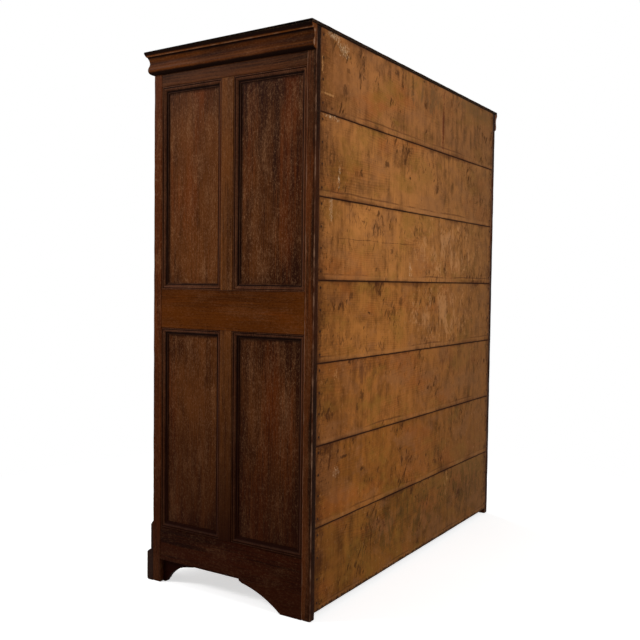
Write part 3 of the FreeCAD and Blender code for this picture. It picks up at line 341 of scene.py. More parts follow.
    # Dark rust round the nails' heads, and grime down both ends of the board
    halo = finish.rise(hypotenuse(x.size() - NAIL_ASIDE, near(z, nails)) + cloudy * 0.006, 0.0075, 0.0025)
    finish.lay(paint(44, 24, 14), halo * 0.65)
    ends = finish.rise(x.size() + cloudy * 0.09 + (scrape - 0.5) * 0.08, 0.665, 0.716)
    finish.lay(paint(64, 34, 17), ends * 0.6)
    for crack, start, stop in cracks:
        gap = finish.rise((z - crack + sway * 0.03 + cloudy * 0.004).size(), 0.0016, 0.0005)
        run = finish.rise(x, start - 0.02, start + 0.02) * finish.rise(x, stop + 0.02, stop - 0.02)
        broken = gap * run * finish.rise(cloudy + drip, -0.25, 0.1)
        finish.lay(paint(74, 42, 22), broken * 0.7)
    for mark_x, mark_z, wide, tall, stain, strength, fine in marks:
        outward = hypotenuse((x - mark_x) / wide, (z - mark_z) / tall)
        reach = finish.rise(outward + cloudy * 0.8 + (scrape - 0.5) * 3.2, 1.0, 0.55)
        if fine:
            stroke = finish.cloud((x * fine * 1.2, z * fine * 0.5, seed), 3.0, 0.7, 0.3)
            reach = reach * finish.rise(stroke, 0.45, 0.6)
        finish.lay(stain, reach * strength)
    edge = finish.attribute("edge")
    finish.lay(paint(48, 28, 17), edge * 0.5)
    normal = finish.bump(fibre * 0.2 + kerf * 0.6 + cloudy * 0.6 - fleck * 0.4, 0.4, 0.0008)
    return finish.done(0.75 + blotch * 0.2, normal, Specular_IOR_Level=0.02)


def plain_pine(name, lie, seed):
    """Clean inside wood of the shelves and bearers, yellower than the back."""
    finish = Finish(name)
    place = dict(zip("xyz", finish.place()))
    along, across, through = (place[letter] for letter in lie)
    along = along + seed * 1.7
    slow = finish.cloud((along * 1.2, across * 5.0, through * 5.0), 2.0, 0.4)
    rings = late_wood(finish, across + through * 0.9 + slow * 0.12, INSIDE_YEAR)
    fibre = finish.cloud((along * 7.0, across * 420.0, through * 420.0), 2.0, 0.6)
    patch = finish.cloud((along * 2.0, across * 5.0, through * 5.0), 3.0, 0.6)
    tone = rings * 0.45 + (fibre - 0.5) * 0.5 + (patch - 0.5) * 0.9
    finish.colour = finish.mix(paint(168, 118, 68), paint(104, 64, 32), finish.rise(tone, -0.35, 0.8))
    spill = finish.cloud((along * 5.0, across * 9.0, through * 9.0), 5.0, 0.65, 0.6)
    finish.lay(paint(96, 60, 32), finish.rise(spill, 0.52, 0.68) * 0.55)
    scratch = finish.cloud((along * 30.0, across * 160.0, through * 160.0), 3.0, 0.75)
    finish.lay(paint(70, 40, 20), finish.rise(scratch, 0.6, 0.75) * 0.5)
    normal = finish.bump(fibre * 0.5 + rings * 0.4 - scratch * 0.4, 0.3, 0.0006)
    return finish.done(0.6 + patch * 0.2, normal, Specular_IOR_Level=0.15)


def metal(name, bright, dull, roughness, rust=0.3):
    """Old fittings: darkened metal with brighter patches and specks of rust."""
    finish = Finish(name)
    place = finish.place()
    cloud = finish.cloud(place, 3.0, 0.6, scale=90.0)
    fine = finish.cloud(place, 2.0, 0.6, scale=700.0)
    finish.colour = finish.mix(dull, bright, finish.rise(cloud, 0.4, 0.7))
    finish.lay(paint(84, 44, 24), finish.rise(fine, 0.58, 0.75) * rust)
    normal = finish.bump(cloud * 0.6 + fine * 0.4, 0.25, 0.0004)
    return finish.done(roughness + (cloud - 0.5) * 0.3, normal, Metallic=1.0)


# Shapes

def closed(rings, hollow=False):
    """Points and faces of a shell whose sections are the rings, with outward faces.

    Quads join each ring to the next. The first and last are filled, or joined where the shell is hollow.
    """
    index = np.arange(rings.shape[0] * rings.shape[1]).reshape(rings.shape[:2])
    ring, after = (index, np.roll(index, -1, 0)) if hollow else (index[:-1], index[1:])
    quads = np.stack([ring, np.roll(ring, -1, 1), np.roll(after, -1, 1), after], -1).reshape(-1, 4)
    points = rings.reshape(-1, 3)
    corner = points[quads]
    volume = np.einsum("ij,ij->", corner[:, 0], np.cross(corner[:, 1], corner[:, 2]))
    volume += np.einsum("ij,ij->", corner[:, 0], np.cross(corner[:, 2], corner[:, 3]))
    faces = quads.tolist()
    if not hollow:
        for cap, hand in ((rings[0], -1), (rings[-1], 1)):
            volume += hand * np.einsum("j,ij->", cap[0], np.cross(cap[1:-1], cap[2:]))
        faces += [index[0][::-1].tolist(), index[-1].tolist()]
    if volume < 0:
        faces = [face[::-1] for face in faces]
    return points, faces


def make(name, shells, material, body, nodes, crease=32.0, hollow=False):
    """One piece from shells of (rings, edge), riding on a body in place of CAD nodes."""
    points, faces, edges, count = [], [], [], 0
    for rings, edge in shells:
        shell_points, shell_faces = closed(rings, hollow)
        points.append(shell_points)
        faces += [[corner + count for corner in face] for face in shell_faces]
        edges.append(np.broadcast_to(edge, rings.shape[:2]).reshape(-1))
        count += len(shell_points)
    mesh = bpy.data.meshes.new(name)
    mesh.from_pydata(np.concatenate(points).tolist(), [], faces)
    mesh.attributes.new("edge", "FLOAT", "POINT").data.foreach_set("value", np.concatenate(edges))
    mesh.materials.append(material)
    mesh.shade_smooth()
    mesh.set_sharp_from_angle(angle=math.radians(crease))
    piece = bpy.data.objects.new(name, mesh)
    bpy.context.scene.collection.objects.link(piece)
    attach(piece, body)
    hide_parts(*nodes)


def ripple(seed, along, longest):
    """A smooth wandering from -1 to 1 along a length: the mean of sin(2 pi (along / wave + phase)).

    Each of the four waves is about half as long as the one before, and weighs 0.62 of it.
    """
    draw = np.random.default_rng(seed)
    halvings = np.arange(4)
    waves = longest / 2.0 ** halvings * draw.uniform(0.8, 1.25, 4)
    phases = draw.random(4)
    weights = 0.62 ** halvings
    sines = np.sin(2 * np.pi * (along[:, None] / waves + phases))
    return sines @ weights / weights.sum()


# An arris is an arc between two narrow bands. The steps are those along a bar and along a moulding
ARC_TURNS = np.linspace(0, np.pi / 2, 3)
ARRIS_BAND = 0.0025
BAR_STEP = 0.03
STRIP_STEP = 0.05
WORN_END = 0.003


def bar(low, high, along, seed, arris=0.0012, wander=0.0003, wear=1.0):
    """A planed member: a rounded rectangle run along one axis, with arrises worn unevenly.

    At each station a side draws in by wander * (1 + ripple) / 2, and the corner radius is arris *
    (0.6 + 0.5 * ripple), kept from 0.3 to 1.0 times the arris. The ends draw in by the arris. The edge value
    is 0 on the sides and the wear at the arrises.
    """
    low, high = np.minimum(low, high), np.maximum(low, high)
    way = "xyz".index(along)
    across = [axis for axis in range(3) if axis != way]
    length = high[way] - low[way]
    count = max(int(length / BAR_STEP), 3)
    station = np.concatenate([[0.0], np.linspace(arris, length - arris, count), [length]])
    shrink = np.where((station == 0) | (station == length), arris, 0.0)
    draw_in = [shrink + wander * (0.5 + 0.5 * ripple(seed + side, station, 0.5)) for side in range(4)]
    radius = arris * np.clip(0.6 + 0.5 * ripple(seed + 9, station, 0.12), 0.3, 1.0)
    sides = {-1: (low[across[0]] + draw_in[0], low[across[1]] + draw_in[1]),
             1: (high[across[0]] - draw_in[2], high[across[1]] - draw_in[3])}
    section, edge = [], []
    for quarter, (hand_u, hand_v) in enumerate(((1, 1), (-1, 1), (-1, -1), (1, -1))):
        side_u, side_v = sides[hand_u][0], sides[hand_v][1]
        angle = ARC_TURNS + quarter * np.pi / 2
        arc_u = (side_u - hand_u * radius)[:, None] + radius[:, None] * np.cos(angle)
        arc_v = (side_v - hand_v * radius)[:, None] + radius[:, None] * np.sin(angle)
        back_u, back_v = (hand_u * ARRIS_BAND, 0.0), (0.0, hand_v * ARRIS_BAND)
        before, after = (back_v, back_u) if quarter % 2 == 0 else (back_u, back_v)
        first = np.stack([arc_u[:, 0] - before[0], arc_v[:, 0] - before[1]], -1)[:, None]
        last = np.stack([arc_u[:, -1] - after[0], arc_v[:, -1] - after[1]], -1)[:, None]
        section += [first, np.stack([arc_u, arc_v], -1), last]
        edge += [0.0, 1.0, 1.0, 1.0, 0.0]
    flat = np.concatenate(section, 1)
    rings = np.empty((*flat.shape[:2], 3))
    rings[..., way] = low[way] + station[:, None]
    rings[..., across[0]] = flat[..., 0]
    rings[..., across[1]] = flat[..., 1]
    return rings, np.array(edge) * wear


def strip(profile, base, out, up, along, length, cuts=(0.0, 0.0), end_wear=0.0):
    """A moulding: a profile of (outward, upward, wear) points, or of the first two, carried along a line.

    Each end is cut on a slant: a point starts cuts[0] times its outward distance along, and ends cuts[1]
    times it past the length. end_wear wears the last few millimetres.
    """
    profile = np.asarray(profile)
    edge = profile[:, 2] if profile.shape[1] > 2 else np.zeros(len(profile))
    count = max(int(length / STRIP_STEP), 2)
    share = np.linspace(0, 1, count + 1)[:, None]
    if end_wear:
        share = np.insert(share, -1, 1 - WORN_END / length, 0)
        edge = edge + end_wear * (share == 1)
    run = share * length + (1 - share) * cuts[0] * profile[:, 0] + share * cuts[1] * profile[:, 0]
    base, out, up, along = (np.asarray(vector, float) for vector in (base, out, up, along))
    rings = base + profile[:, :1] * out + profile[:, 1:2] * up + run[..., None] * along
    return rings, edge


def sweep(points, axis=1):
    """Rings from a section's points, each an (x, y, z) of numbers or of values at all the rings.

    With axis 0 they are whole rings instead.
    """
    return np.stack([np.stack(np.broadcast_arrays(*point), -1) for point in points], axis)


def arc(start, end, share, count):
    """Points from start to end on an arc that rises to the left of its chord by that share of it."""
    start, end = np.asarray(start, float), np.asarray(end, float)
    chord = end - start
    half_angle = 2 * math.atan(2 * share)
    angle = np.linspace(-half_angle, half_angle, count)
    forward = (np.sin(angle) / math.sin(half_angle) + 1) / 2
    rise = (np.cos(angle) - math.cos(half_angle)) / (2 * math.sin(half_angle))
    left = np.array([-chord[1], chord[0]])
    return start + forward[:, None] * chord + rise[:, None] * left


# Finishes

DARK = paint(42, 18, 7)
BROWN = paint(92, 46, 18)
OLIVE = paint(104, 59, 25)
RED_BROWN = paint(84, 38, 12)
ORANGE = paint(120, 54, 13)
AMBER = paint(112, 60, 18)
LOW_BROWNS = (paint(16, 5, 1), paint(78, 32, 8), paint(86, 30, 6))
CROWN_BROWNS = (paint(34, 14, 5), paint(90, 44, 13), AMBER)
# Painted shade beside the mouldings, on the panels' outer faces: along the top and the front side of each end
# opening, and the top and left side of each door opening
END_FACE = HALF - sum(END_PANEL_DEPTH) / 2
DOOR_FACE = -FRONT - sum(DOOR_PANEL_DEPTH) / 2
END_RIMS = (("y", (POST_BACK + MOULDING, MUNTIN[1] + MOULDING), END_FACE),
            ("z", (END_RAILS["middle"][0] - MOULDING, END_RAILS["top"][0] - MOULDING), END_FACE))
DOOR_RIMS = (("x", (DOOR_RUN[0] + DOOR_STILE + MOULDING, DOOR_STILE + MOULDING - DOOR_RUN[1]), DOOR_FACE),
             ("z", (DOOR_RAILS["lock"][0] - MOULDING, DOOR_RAILS["top"][0] - MOULDING), DOOR_FACE))

post_stain = stained("post_stain", "zyx", 1.0, DARK, RED_BROWN, ORANGE, foot=0.6, streaks=1.6, scuffs=0.5,
                     shades=(("z", 1.5, 1.75, -0.5),))
# The back stiles' rear faces are painted dark, as shade, by a rim at the back and a shade step
stile_stain = stained("back_stile_stain", "zyx", 1.5, paint(24, 13, 7), paint(78, 40, 16), paint(108, 50, 14),
                      foot=0.3, rims=(("y", (BACK,), 0.0),),
                      shades=(("y", 0.318, 0.334, 0.6), ("z", 1.2, 0.9, -0.15)))
muntin_stain = stained("muntin_stain", "zyx", 2.0, DARK, OLIVE, AMBER, foot=0.98, streaks=1.5, scuffs=0.45)
top_rail_stain = stained("end_top_rail_stain", "yzx", 2.5, paint(32, 15, 7), paint(88, 48, 23),
                         paint(98, 51, 19), scuffs=0.15)
middle_rail_stain = stained("end_middle_rail_stain", "yzx", 3.0, paint(54, 24, 5), paint(88, 42, 7), ORANGE,
                            scuffs=0.2)
bottom_rail_stain = stained("end_bottom_rail_stain", "yzx", 3.5, *LOW_BROWNS, foot=0.8, streaks=2.8,
                            scuffs=0.75)
# The brackets' black is laid nearly in full, so that the set-in ones are painted near black as shade
bracket_stain = stained("bracket_stain", "yzx", 3.5, *LOW_BROWNS, foot=0.8, streaks=2.8, scuffs=0.75,
                        grime_and_shade=0.98)
# Tone steps over the end panels. Those in z paint shade: under the cornice and the top rail, and darker
# toward the floor. Those in y set the tone from front to back.
PANEL_SHADES = (("y", -0.01, 0.05, 0.15), ("y", 0.02, 0.30, 0.12), ("y", 0.12, 0.05, 0.2),
                ("y", 0.04, 0.0, -0.3), ("y", -0.18, -0.25, 0.15), ("z", 1.50, 1.66, 0.35),
                ("z", 1.10, 1.01, 0.15), ("z", 0.28, 0.20, 0.3))
panel_stain = stained("end_panel_stain", "zyx", 4.0, DARK, paint(100, 55, 23), paint(112, 50, 15), foot=0.72,
                      rims=END_RIMS, scuffs=0.62, streaks=0.8, shades=PANEL_SHADES)
bead_stain = stained("end_moulding_stain", "zyx", 5.0, DARK, paint(82, 48, 31), BROWN, foot=0.8, grime_and_shade=0.95)
plinth_stain = stained("plinth_stain", "xzy", 5.2, paint(30, 12, 5), BROWN, RED_BROWN, foot=0.5, gloss=0.03,
                       shades=(("x", 0.7, 0.735, 0.9), ("x", -0.7, -0.735, 0.9)))
door_upright = stained("door_upright_stain", "zxy", 5.5, DARK, BROWN, ORANGE, foot=0.35, gloss=0.1,
                       scuffs=0.25)
door_level = stained("door_rail_stain", "xzy", 6.0, DARK, RED_BROWN, ORANGE, foot=0.35, gloss=0.1,
                     scuffs=0.25)
door_panel = stained("door_panel_stain", "zxy", 7.0, DARK, OLIVE, ORANGE, foot=0.3, rims=DOOR_RIMS, gloss=0.1,
                     scuffs=0.25, patches=0.9)
door_bead = stained("door_moulding_stain", "zxy", 7.5, DARK, paint(80, 48, 34), BROWN, foot=0.3, grime_and_shade=0.95,
                    gloss=0.12)
front_crown_stain = stained("front_cornice_stain", "xzy", 8.0, *CROWN_BROWNS, streaks=0.7, scuffs=0.25,
                            grime_and_shade=0.95)
side_crown_stain = stained("side_cornice_stain", "yzx", 9.0, *CROWN_BROWNS, streaks=0.7, scuffs=0.25,
                           grime_and_shade=0.95, shades=(("y", 0.1, 0.34, 0.3),))
top_stain = stained("top_board_stain", "xyz", 10.0, paint(13, 10, 8), paint(30, 22, 16), paint(40, 26, 17),
                    roughness=0.7, gloss=0.01)
inside_wood = plain_pine("inside_wood", "xyz", 11.0)
bearer_wood = plain_pine("bearer_wood", "yzx", 12.0)
iron = metal("old_iron", paint(66, 56, 50), paint(28, 22, 20), 0.55)
nail_rust = metal("nail_rust", paint(46, 30, 22), paint(20, 12, 8), 0.75, 0.6)
brass = metal("old_brass", paint(190, 150, 84), paint(104, 76, 38), 0.38, 0.1)
knob_wood = stained("knob_polish", "yxz", 13.0, DARK, BROWN, ORANGE, roughness=0.25)


# The back's seven boards. The shares give the joints up the back, and the nails down a board

BOARD_SHARES = (0.0, 0.1475, 0.2899, 0.4323, 0.5747, 0.7171, 0.8596, 1.0)
NAIL_SHARES = (0.085, 0.356, 0.613, 0.895)
PLASTER = paint(202, 172, 136)
RUST = paint(84, 36, 21)
MOULD = paint(72, 54, 24)
GREY = paint(102, 72, 43)
SMOKE = paint(68, 41, 23)
SOOT = paint(60, 34, 17)
PALE = paint(184, 132, 80)
LIGHT = paint(182, 130, 84)
PATCH = paint(98, 58, 32)
# For each board: light and deep tone, dullness, cracks and marks, as in bare_board
BOARDS = {
    "lowest": (paint(136, 85, 34), paint(62, 38, 15), 0.35, (), (
        (0.1, 0.17, 0.42, 0.10, MOULD, 0.6, 24), (-0.45, 0.2, 0.25, 0.09, MOULD, 0.55, 24),
        (-0.265, 0.225, 0.02, 0.055, PALE, 0.45, 60), (0.431, 0.07, 0.008, 0.02, SOOT, 0.6, 0),
        (0.68, 0.053, 0.024, 0.016, paint(22, 16, 10), 0.85, 40),
        # The lowest board's last mark is a painted shadow along its lower edge
        (0.0, 0.02, 1.2, 0.015, paint(40, 24, 14), 0.85, 0))),
    "second": (paint(146, 89, 36), paint(70, 41, 15), 0.1, (), (
        (0.548, 0.477, 0.03, 0.006, SOOT, 0.8, 0), (0.428, 0.416, 0.016, 0.007, SOOT, 0.75, 0),
        (0.133, 0.395, 0.01, 0.015, SOOT, 0.6, 0), (0.595, 0.435, 0.02, 0.018, PLASTER, 0.35, 210))),
    "third": (paint(158, 98, 45), paint(74, 43, 17), 0.1, (), (
        (0.43, 0.74, 0.1, 0.05, PATCH, 0.75, 24), (-0.26, 0.72, 0.09, 0.06, PATCH, 0.75, 24),
        (0.436, 0.662, 0.016, 0.02, SOOT, 0.65, 0), (0.466, 0.622, 0.01, 0.022, SOOT, 0.6, 0),
        (0.604, 0.74, 0.01, 0.022, PALE, 0.5, 60))),
    "fourth": (paint(167, 106, 50), paint(84, 50, 21), 0.0, (), (
        (0.517, 0.99, 0.016, 0.016, SOOT, 0.6, 0), (0.161, 0.966, 0.018, 0.018, SOOT, 0.6, 0),
        (-0.071, 0.857, 0.02, 0.022, SOOT, 0.6, 70), (0.57, 0.86, 0.04, 0.03, SOOT, 0.55, 70),
        (0.396, 0.932, 0.008, 0.006, SOOT, 0.8, 0), (0.02, 0.919, 0.008, 0.007, SOOT, 0.8, 0),
        (-0.51, 0.957, 0.04, 0.025, SOOT, 0.5, 60), (-0.2, 0.92, 0.3, 0.1, LIGHT, 0.5, 16))),
    "fifth": (paint(178, 116, 60), paint(90, 55, 25), 0.0, ((1.17, 0.05, 0.6),), (
        (0.338, 1.21, 0.035, 0.03, SOOT, 0.6, 60), (0.032, 1.222, 0.06, 0.035, SOOT, 0.75, 55),
        (-0.376, 1.214, 0.02, 0.035, SOOT, 0.6, 50), (-0.565, 1.19, 0.02, 0.05, SOOT, 0.6, 50),
        (0.23, 1.141, 0.03, 0.012, SOOT, 0.6, 60), (0.093, 1.081, 0.014, 0.03, PLASTER, 0.5, 210),
        (0.645, 1.265, 0.012, 0.05, PLASTER, 0.45, 210), (-0.25, 1.17, 0.3, 0.1, LIGHT, 0.55, 16))),
    "sixth": (paint(172, 112, 59), paint(82, 51, 25), 0.0, (), (
        (0.646, 1.532, 0.05, 0.008, PLASTER, 0.75, 160), (0.6, 1.362, 0.007, 0.035, PLASTER, 0.75, 140),
        (0.655, 1.42, 0.05, 0.08, SOOT, 0.6, 60), (0.284, 1.436, 0.018, 0.014, SOOT, 0.7, 0),
        (0.461, 1.383, 0.012, 0.01, SOOT, 0.7, 0), (0.103, 1.411, 0.01, 0.007, SOOT, 0.8, 0),
        (-0.056, 1.51, 0.085, 0.02, PATCH, 0.6, 30))),
    "top": (paint(158, 102, 56), paint(72, 45, 23), 0.0, (), (
        (0.635, 1.778, 0.04, 0.014, PLASTER, 0.6, 210), (0.58, 1.748, 0.035, 0.024, PLASTER, 0.55, 210),
        (0.704, 1.68, 0.006, 0.025, PALE, 0.5, 0), (0.665, 1.598, 0.04, 0.004, PALE, 0.5, 0),
        (0.476, 1.735, 0.035, 0.08, SMOKE, 0.85, 18), (0.472, 1.7, 0.008, 0.06, SOOT, 0.7, 60),
        (0.568, 1.628, 0.016, 0.02, SOOT, 0.6, 0), (0.66, 1.75, 0.03, 0.03, SMOKE, 0.5, 30),
        (0.187, 1.765, 0.05, 0.035, SMOKE, 0.85, 18), (0.3, 1.75, 0.08, 0.035, SMOKE, 0.6, 18),
        (0.552, 1.692, 0.014, 0.01, SOOT, 0.5, 0), (0.175, 1.737, 0.01, 0.028, SOOT, 0.6, 0),
        (0.092, 1.735, 0.011, 0.05, SOOT, 0.6, 0), (-0.002, 1.776, 0.007, 0.005, SOOT, 0.9, 0),
        (-0.04, 1.72, 0.16, 0.065, GREY, 0.75, 14), (-0.188, 1.73, 0.016, 0.05, RUST, 0.75, 40),
        (-0.18, 1.64, 0.01, 0.1, RUST, 0.8, 0), (-0.347, 1.735, 0.04, 0.05, SMOKE, 0.8, 18),
        (-0.5, 1.765, 0.24, 0.04, GREY, 0.75, 12))),
}
# The gap between two boards, and how far they stay in from the stiles' backs
GAP = 0.0002
SHY = 0.0003
joints = BOARD_CLEAR + np.array(BOARD_SHARES) * (TOP - BOARD_CLEAR)
for order, (name, (light, deep, dull, cracks, marks)) in enumerate(BOARDS.items()):
    foot = joints[order] + (GAP if order else 0.0)
    head = joints[order + 1]
    nail_levels = [head - share * (head - foot) for share in NAIL_SHARES]
    board_wood = bare_board(name + "_back_board_wood", order * 3.0 + 1.0, foot, head, light, deep,
                            nail_levels, dull, cracks, marks)
    shell = bar((-BOARD_HALF, BOARD_FRONT, foot), (BOARD_HALF, BACK - SHY, head), "x", 40 + order * 10,
                arris=0.0016, wander=0.0006)
    make(name + "_board", [shell], board_wood, "carcase", [name + "_back_board"])


# Posts, stiles, rails, muntins and panels of the two ends

def end_bar(side, run, depth, up, along, seed, **shape):
    """A member of an end frame: its run along Y, its depth inwards from the outer face, its height."""
    return bar((side * (HALF - depth[0]), run[0], up[0]), (side * (HALF - depth[1]), run[1], up[1]),
               along, seed, **shape)


# In from the frame's edge, up from its face, and wear (above zero) or dirt (below)
END_PROFILE = np.array([
    (0.0, -0.0130, -1), (0.0, -0.0030, -1), (0.0008, -0.0020, -0.3), (0.0030, -0.0019, 0.5),
    (0.0038, -0.0026, 0.1), (0.0042, -0.0048, -1), (0.0054, -0.0050, -1), (0.0062, -0.0040, -0.2),
    (0.0078, -0.0036, 0.4), (0.0100, -0.0044, 0.1), (0.0120, -0.0062, 0), (0.0140, -0.0082, -0.3),
    (0.0158, -0.0094, -0.6), (0.0176, -0.0099, -1), (0.0184, -0.0104, -0.8), (0.0210, -0.0104, 0),
    (0.0220, -0.0112, -1), (0.0220, -0.0130, -1)])


# Painted light and shade on the lower, upper, first and last strip of a frame of mouldings, added to its edge
# values: the upper and first strips are darker, the lower and last lighter. Round the lower end panels all
# four are darker.
STRIP_SHADING = (0.1, -0.2, -0.15, 0.1)
LOW_STRIP_SHADING = (-0.35, -0.3, -0.25, -0.05)


def moulding_frame(profile, corner, right, up, out, wide, tall, strip_shading=STRIP_SHADING):
    """Four strips round an opening, mitred into its corners. out points away from the panel."""
    right, up, out = (np.asarray(vector, float) for vector in (right, up, out))
    corner = np.asarray(corner, float)
    far = corner + wide * right + tall * up
    runs = ((corner, up, right, wide), (far, -up, -right, wide),
            (corner, right, up, tall), (far, -right, -up, tall))
    strips = []
    for (start, across, along, length), painted_shading in zip(runs, strip_shading):
        rings, edge = strip(profile, start, across, out, along, length, (1.0, -1.0))
        strips.append((rings, edge + painted_shading))
    return strips


end_rail_stains = {"bottom": bottom_rail_stain, "middle": middle_rail_stain, "top": top_rail_stain}
end_run = (POST_BACK, STILE_FRONT)
end_levels = ((END_RAILS["bottom"][1], END_RAILS["middle"][0]),
              (END_RAILS["middle"][1], END_RAILS["top"][0]))
end_openings = [(run, up) for up in end_levels
                for run in ((end_run[0], MUNTIN[0]), (MUNTIN[1], end_run[1]))]
for side_name, side in SIDES.items():
    seed = 200 + 100 * side
    make(side_name + "_post", [bar((side * HALF, FRONT, 0), (side * POST_IN, POST_BACK, TOP), "z", seed,
                                   arris=0.0025, wear=-0.25)],
         post_stain, "carcase", [side_name + "_front_post"])
    make(side_name + "_back_stile",
         [bar((side * HALF, STILE_FRONT, 0), (side * STILE_IN, BACK, TOP), "z", seed + 1,
              arris=0.003, wear=0.75),
          bar((side * STILE_IN, STILE_FRONT, BOARD_CLEAR), (side * LIP_IN, BOARD_FRONT, TOP), "z", seed + 2)],
         stile_stain, "carcase", [side_name + "_rear_stile"])
    for rail, up in END_RAILS.items():
        make(f"{side_name}_{rail}_end_rail",
             [end_bar(side, end_run, END_FRAME_DEPTH, up, "y", seed + 3 + len(rail), wear=-0.3)],
             end_rail_stains[rail], "carcase", [f"{side_name}_end_{rail}_rail"])
    make(side_name + "_muntins",
         [end_bar(side, MUNTIN, END_FRAME_DEPTH, up, "z", seed + 20, wear=-0.3) for up in end_levels],
         muntin_stain, "carcase", [side_name + "_end_muntins"])
    make(side_name + "_panels",
         [end_bar(side, (run[0] - END_TONGUE, run[1] + END_TONGUE), END_PANEL_DEPTH,
                  (up[0] - END_TONGUE, up[1] + END_TONGUE), "z", seed + 30 + number)
          for number, (run, up) in enumerate(end_openings)],
         panel_stain, "carcase", [side_name + "_end_panels"])
    strips = []
    for run, up in end_openings:
        strips += moulding_frame(END_PROFILE, (side * HALF, run[0], up[0]), (0, 1, 0), (0, 0, 1),
                                 (side, 0, 0), run[1] - run[0], up[1] - up[0],
                                 LOW_STRIP_SHADING if up == end_levels[0] else STRIP_SHADING)
    make(side_name + "_panel_mouldings", strips, bead_stain, "carcase", [side_name + "_end_mouldings"],
         crease=25.0)


# Brackets and plinth: the lower edge follows an arch

# From the foot's inner corner along and up: the curve's end, and the foot and top of the quirk above it
CURVE_END = (0.15, 0.068)
QUIRK_FOOT = (0.162, 0.074)
QUIRK_WIDE = 0.0002
ARCH_TOP = END_RAILS["bottom"][0]
REAR_FOOT, FRONT_FOOT = 0.079, 0.072


def arch(inward, foot):
    """Height of the arch's edge at a distance in from the corner: flat foot, curve, quirk, straight."""
    curve = arc((foot, 0.0), (foot + CURVE_END[0], CURVE_END[1]), 0.06, 13)
    quirk = [(foot + QUIRK_FOOT[0], QUIRK_FOOT[1]), (foot + QUIRK_FOOT[0] + QUIRK_WIDE, ARCH_TOP)]
    line = np.concatenate([[(0.0, 0.0)], curve, quirk, [(2.0, ARCH_TOP)]])
    return np.interp(inward, line[:, 0], line[:, 1])


def foot_places(before, foot, past):
    """Distances in from the corner: on the flat foot, along the curve, and that far past it at the quirk."""
    return np.concatenate([before, np.linspace(foot, foot + CURVE_END[0], 22), foot + np.array(past)])


BRACKET_THICK = 0.02
SOFT_EDGE = 0.0015


def bracket(side, inset, y, edge):
    """A board standing under an end rail, from one inset to the other, with its lower edge's heights."""
    inner, outer = side * (HALF - inset[1]), side * (HALF - inset[0])
    section = [(inner, edge), (outer - side * SOFT_EDGE, edge), (outer, edge + SOFT_EDGE),
               (outer, ARCH_TOP), (inner, ARCH_TOP)]
    return sweep([(depth, y, level) for depth, level in section])


# The rear brackets are flush with the rails. Those behind the posts are set in, with an edge of their own
FLUSH, SET_IN = 0.0004, 0.016
post_curve = np.concatenate([[(0.0002, 0.0), (0.008, 0.0)], arc((0.0095, 0.0), (0.103, 0.066), 0.112, 15),
                             [(0.118, 0.0686), (0.1328, 0.071)]])
rear_places = foot_places([0.0005, 0.03, 0.0785], REAR_FOOT, [0.1615, 0.1619])
brackets = []
for side in SIDES.values():
    brackets.append((bracket(side, (FLUSH, BRACKET_THICK), STILE_FRONT - rear_places,
                             arch(rear_places, REAR_FOOT)), 0.0))
    # The set-in bracket's edge value of -1 paints it near black, as shade behind the post
    brackets.append((bracket(side, (SET_IN, SET_IN + BRACKET_THICK), POST_BACK + post_curve[:, 0],
                             post_curve[:, 1]), -1.0))
make("brackets", brackets, bracket_stain, "carcase", ["end_brackets"])

# The plinth, and the thin moulding that stands on it
PLINTH_FACE = FRONT - OVERHANG
PLINTH_TOP = 0.109
front_places = foot_places([0.0, 0.002, 0.03, 0.0715], FRONT_FOOT, [0.1619, 0.1623])
inward = np.concatenate([front_places, np.linspace(0.26, HALF, 12)[:-1]])
across = np.concatenate([inward - HALF, [0.0], (HALF - inward)[::-1]])
edge = arch(HALF - np.abs(across), FRONT_FOOT)
plinth_section = [(FRONT, edge), (PLINTH_FACE + 0.006, edge), (PLINTH_FACE + 0.0018, edge + 0.0018),
                  (PLINTH_FACE, edge + 0.006), (PLINTH_FACE, 0.0975), (PLINTH_FACE + 0.0012, 0.0992),
                  (PLINTH_FACE + 0.0162, 0.1085), (PLINTH_FACE + 0.0178, PLINTH_TOP), (FRONT, PLINTH_TOP)]
make("plinth", [(sweep([(across, depth, level) for depth, level in plinth_section]), 0.0)],
     plinth_stain, "carcase", ["front_plinth"])

BASE_PROFILE = [(0.0, 0.0), (0.009, 0.0), (0.009, 0.084), (0.0083, 0.0865), (0.0015, 0.0965), (0.0, 0.097)]
make("base_strip",
     [strip(BASE_PROFILE, (-HALF, FRONT, PLINTH_TOP), (0, -1, 0), (0, 0, 1), (1, 0, 0), 2 * HALF)],
     plinth_stain, "carcase", ["base_moulding"])


# Cornice and top board

# Outward from the carcase, up from its top, and the edge value: above zero, a worn arris on the fillet and a
# painted highlight on the torus; below zero, dirt in the quirk and painted shade under the top board, over
# the cove and under the torus
CORNICE_PROFILE = np.array([
    (0.0, 0.0, -1), (0.0250, 0.0, -1), (0.0254, -0.0012, -1), (0.0240, -0.0042, -0.9),
    (0.0220, -0.0085, -0.5), (0.0208, -0.0114, 0.75), (0.0200, -0.0130, 0.6), (0.0172, -0.0138, -1),
    (0.0163, -0.0152, -0.9), (0.0149, -0.0185, -0.5), (0.0132, -0.0223, -0.3), (0.0119, -0.0264, -0.2),
    (0.0112, -0.0304, -0.25), (0.0108, -0.0345, -0.4), (0.0113, -0.0386, -0.35), (0.0126, -0.0430, 0),
    (0.0141, -0.0472, 0.2), (0.0151, -0.0512, 0.3), (0.0154, -0.0552, 0.1), (0.0151, -0.0594, -0.1),
    (0.0141, -0.0631, -0.5), (0.0122, -0.0662, -0.8), (0.0097, -0.0688, -1), (0.0066, -0.0706, -1),
    (0.0030, -0.0718, -1), (0.0, -0.0720, -1)])
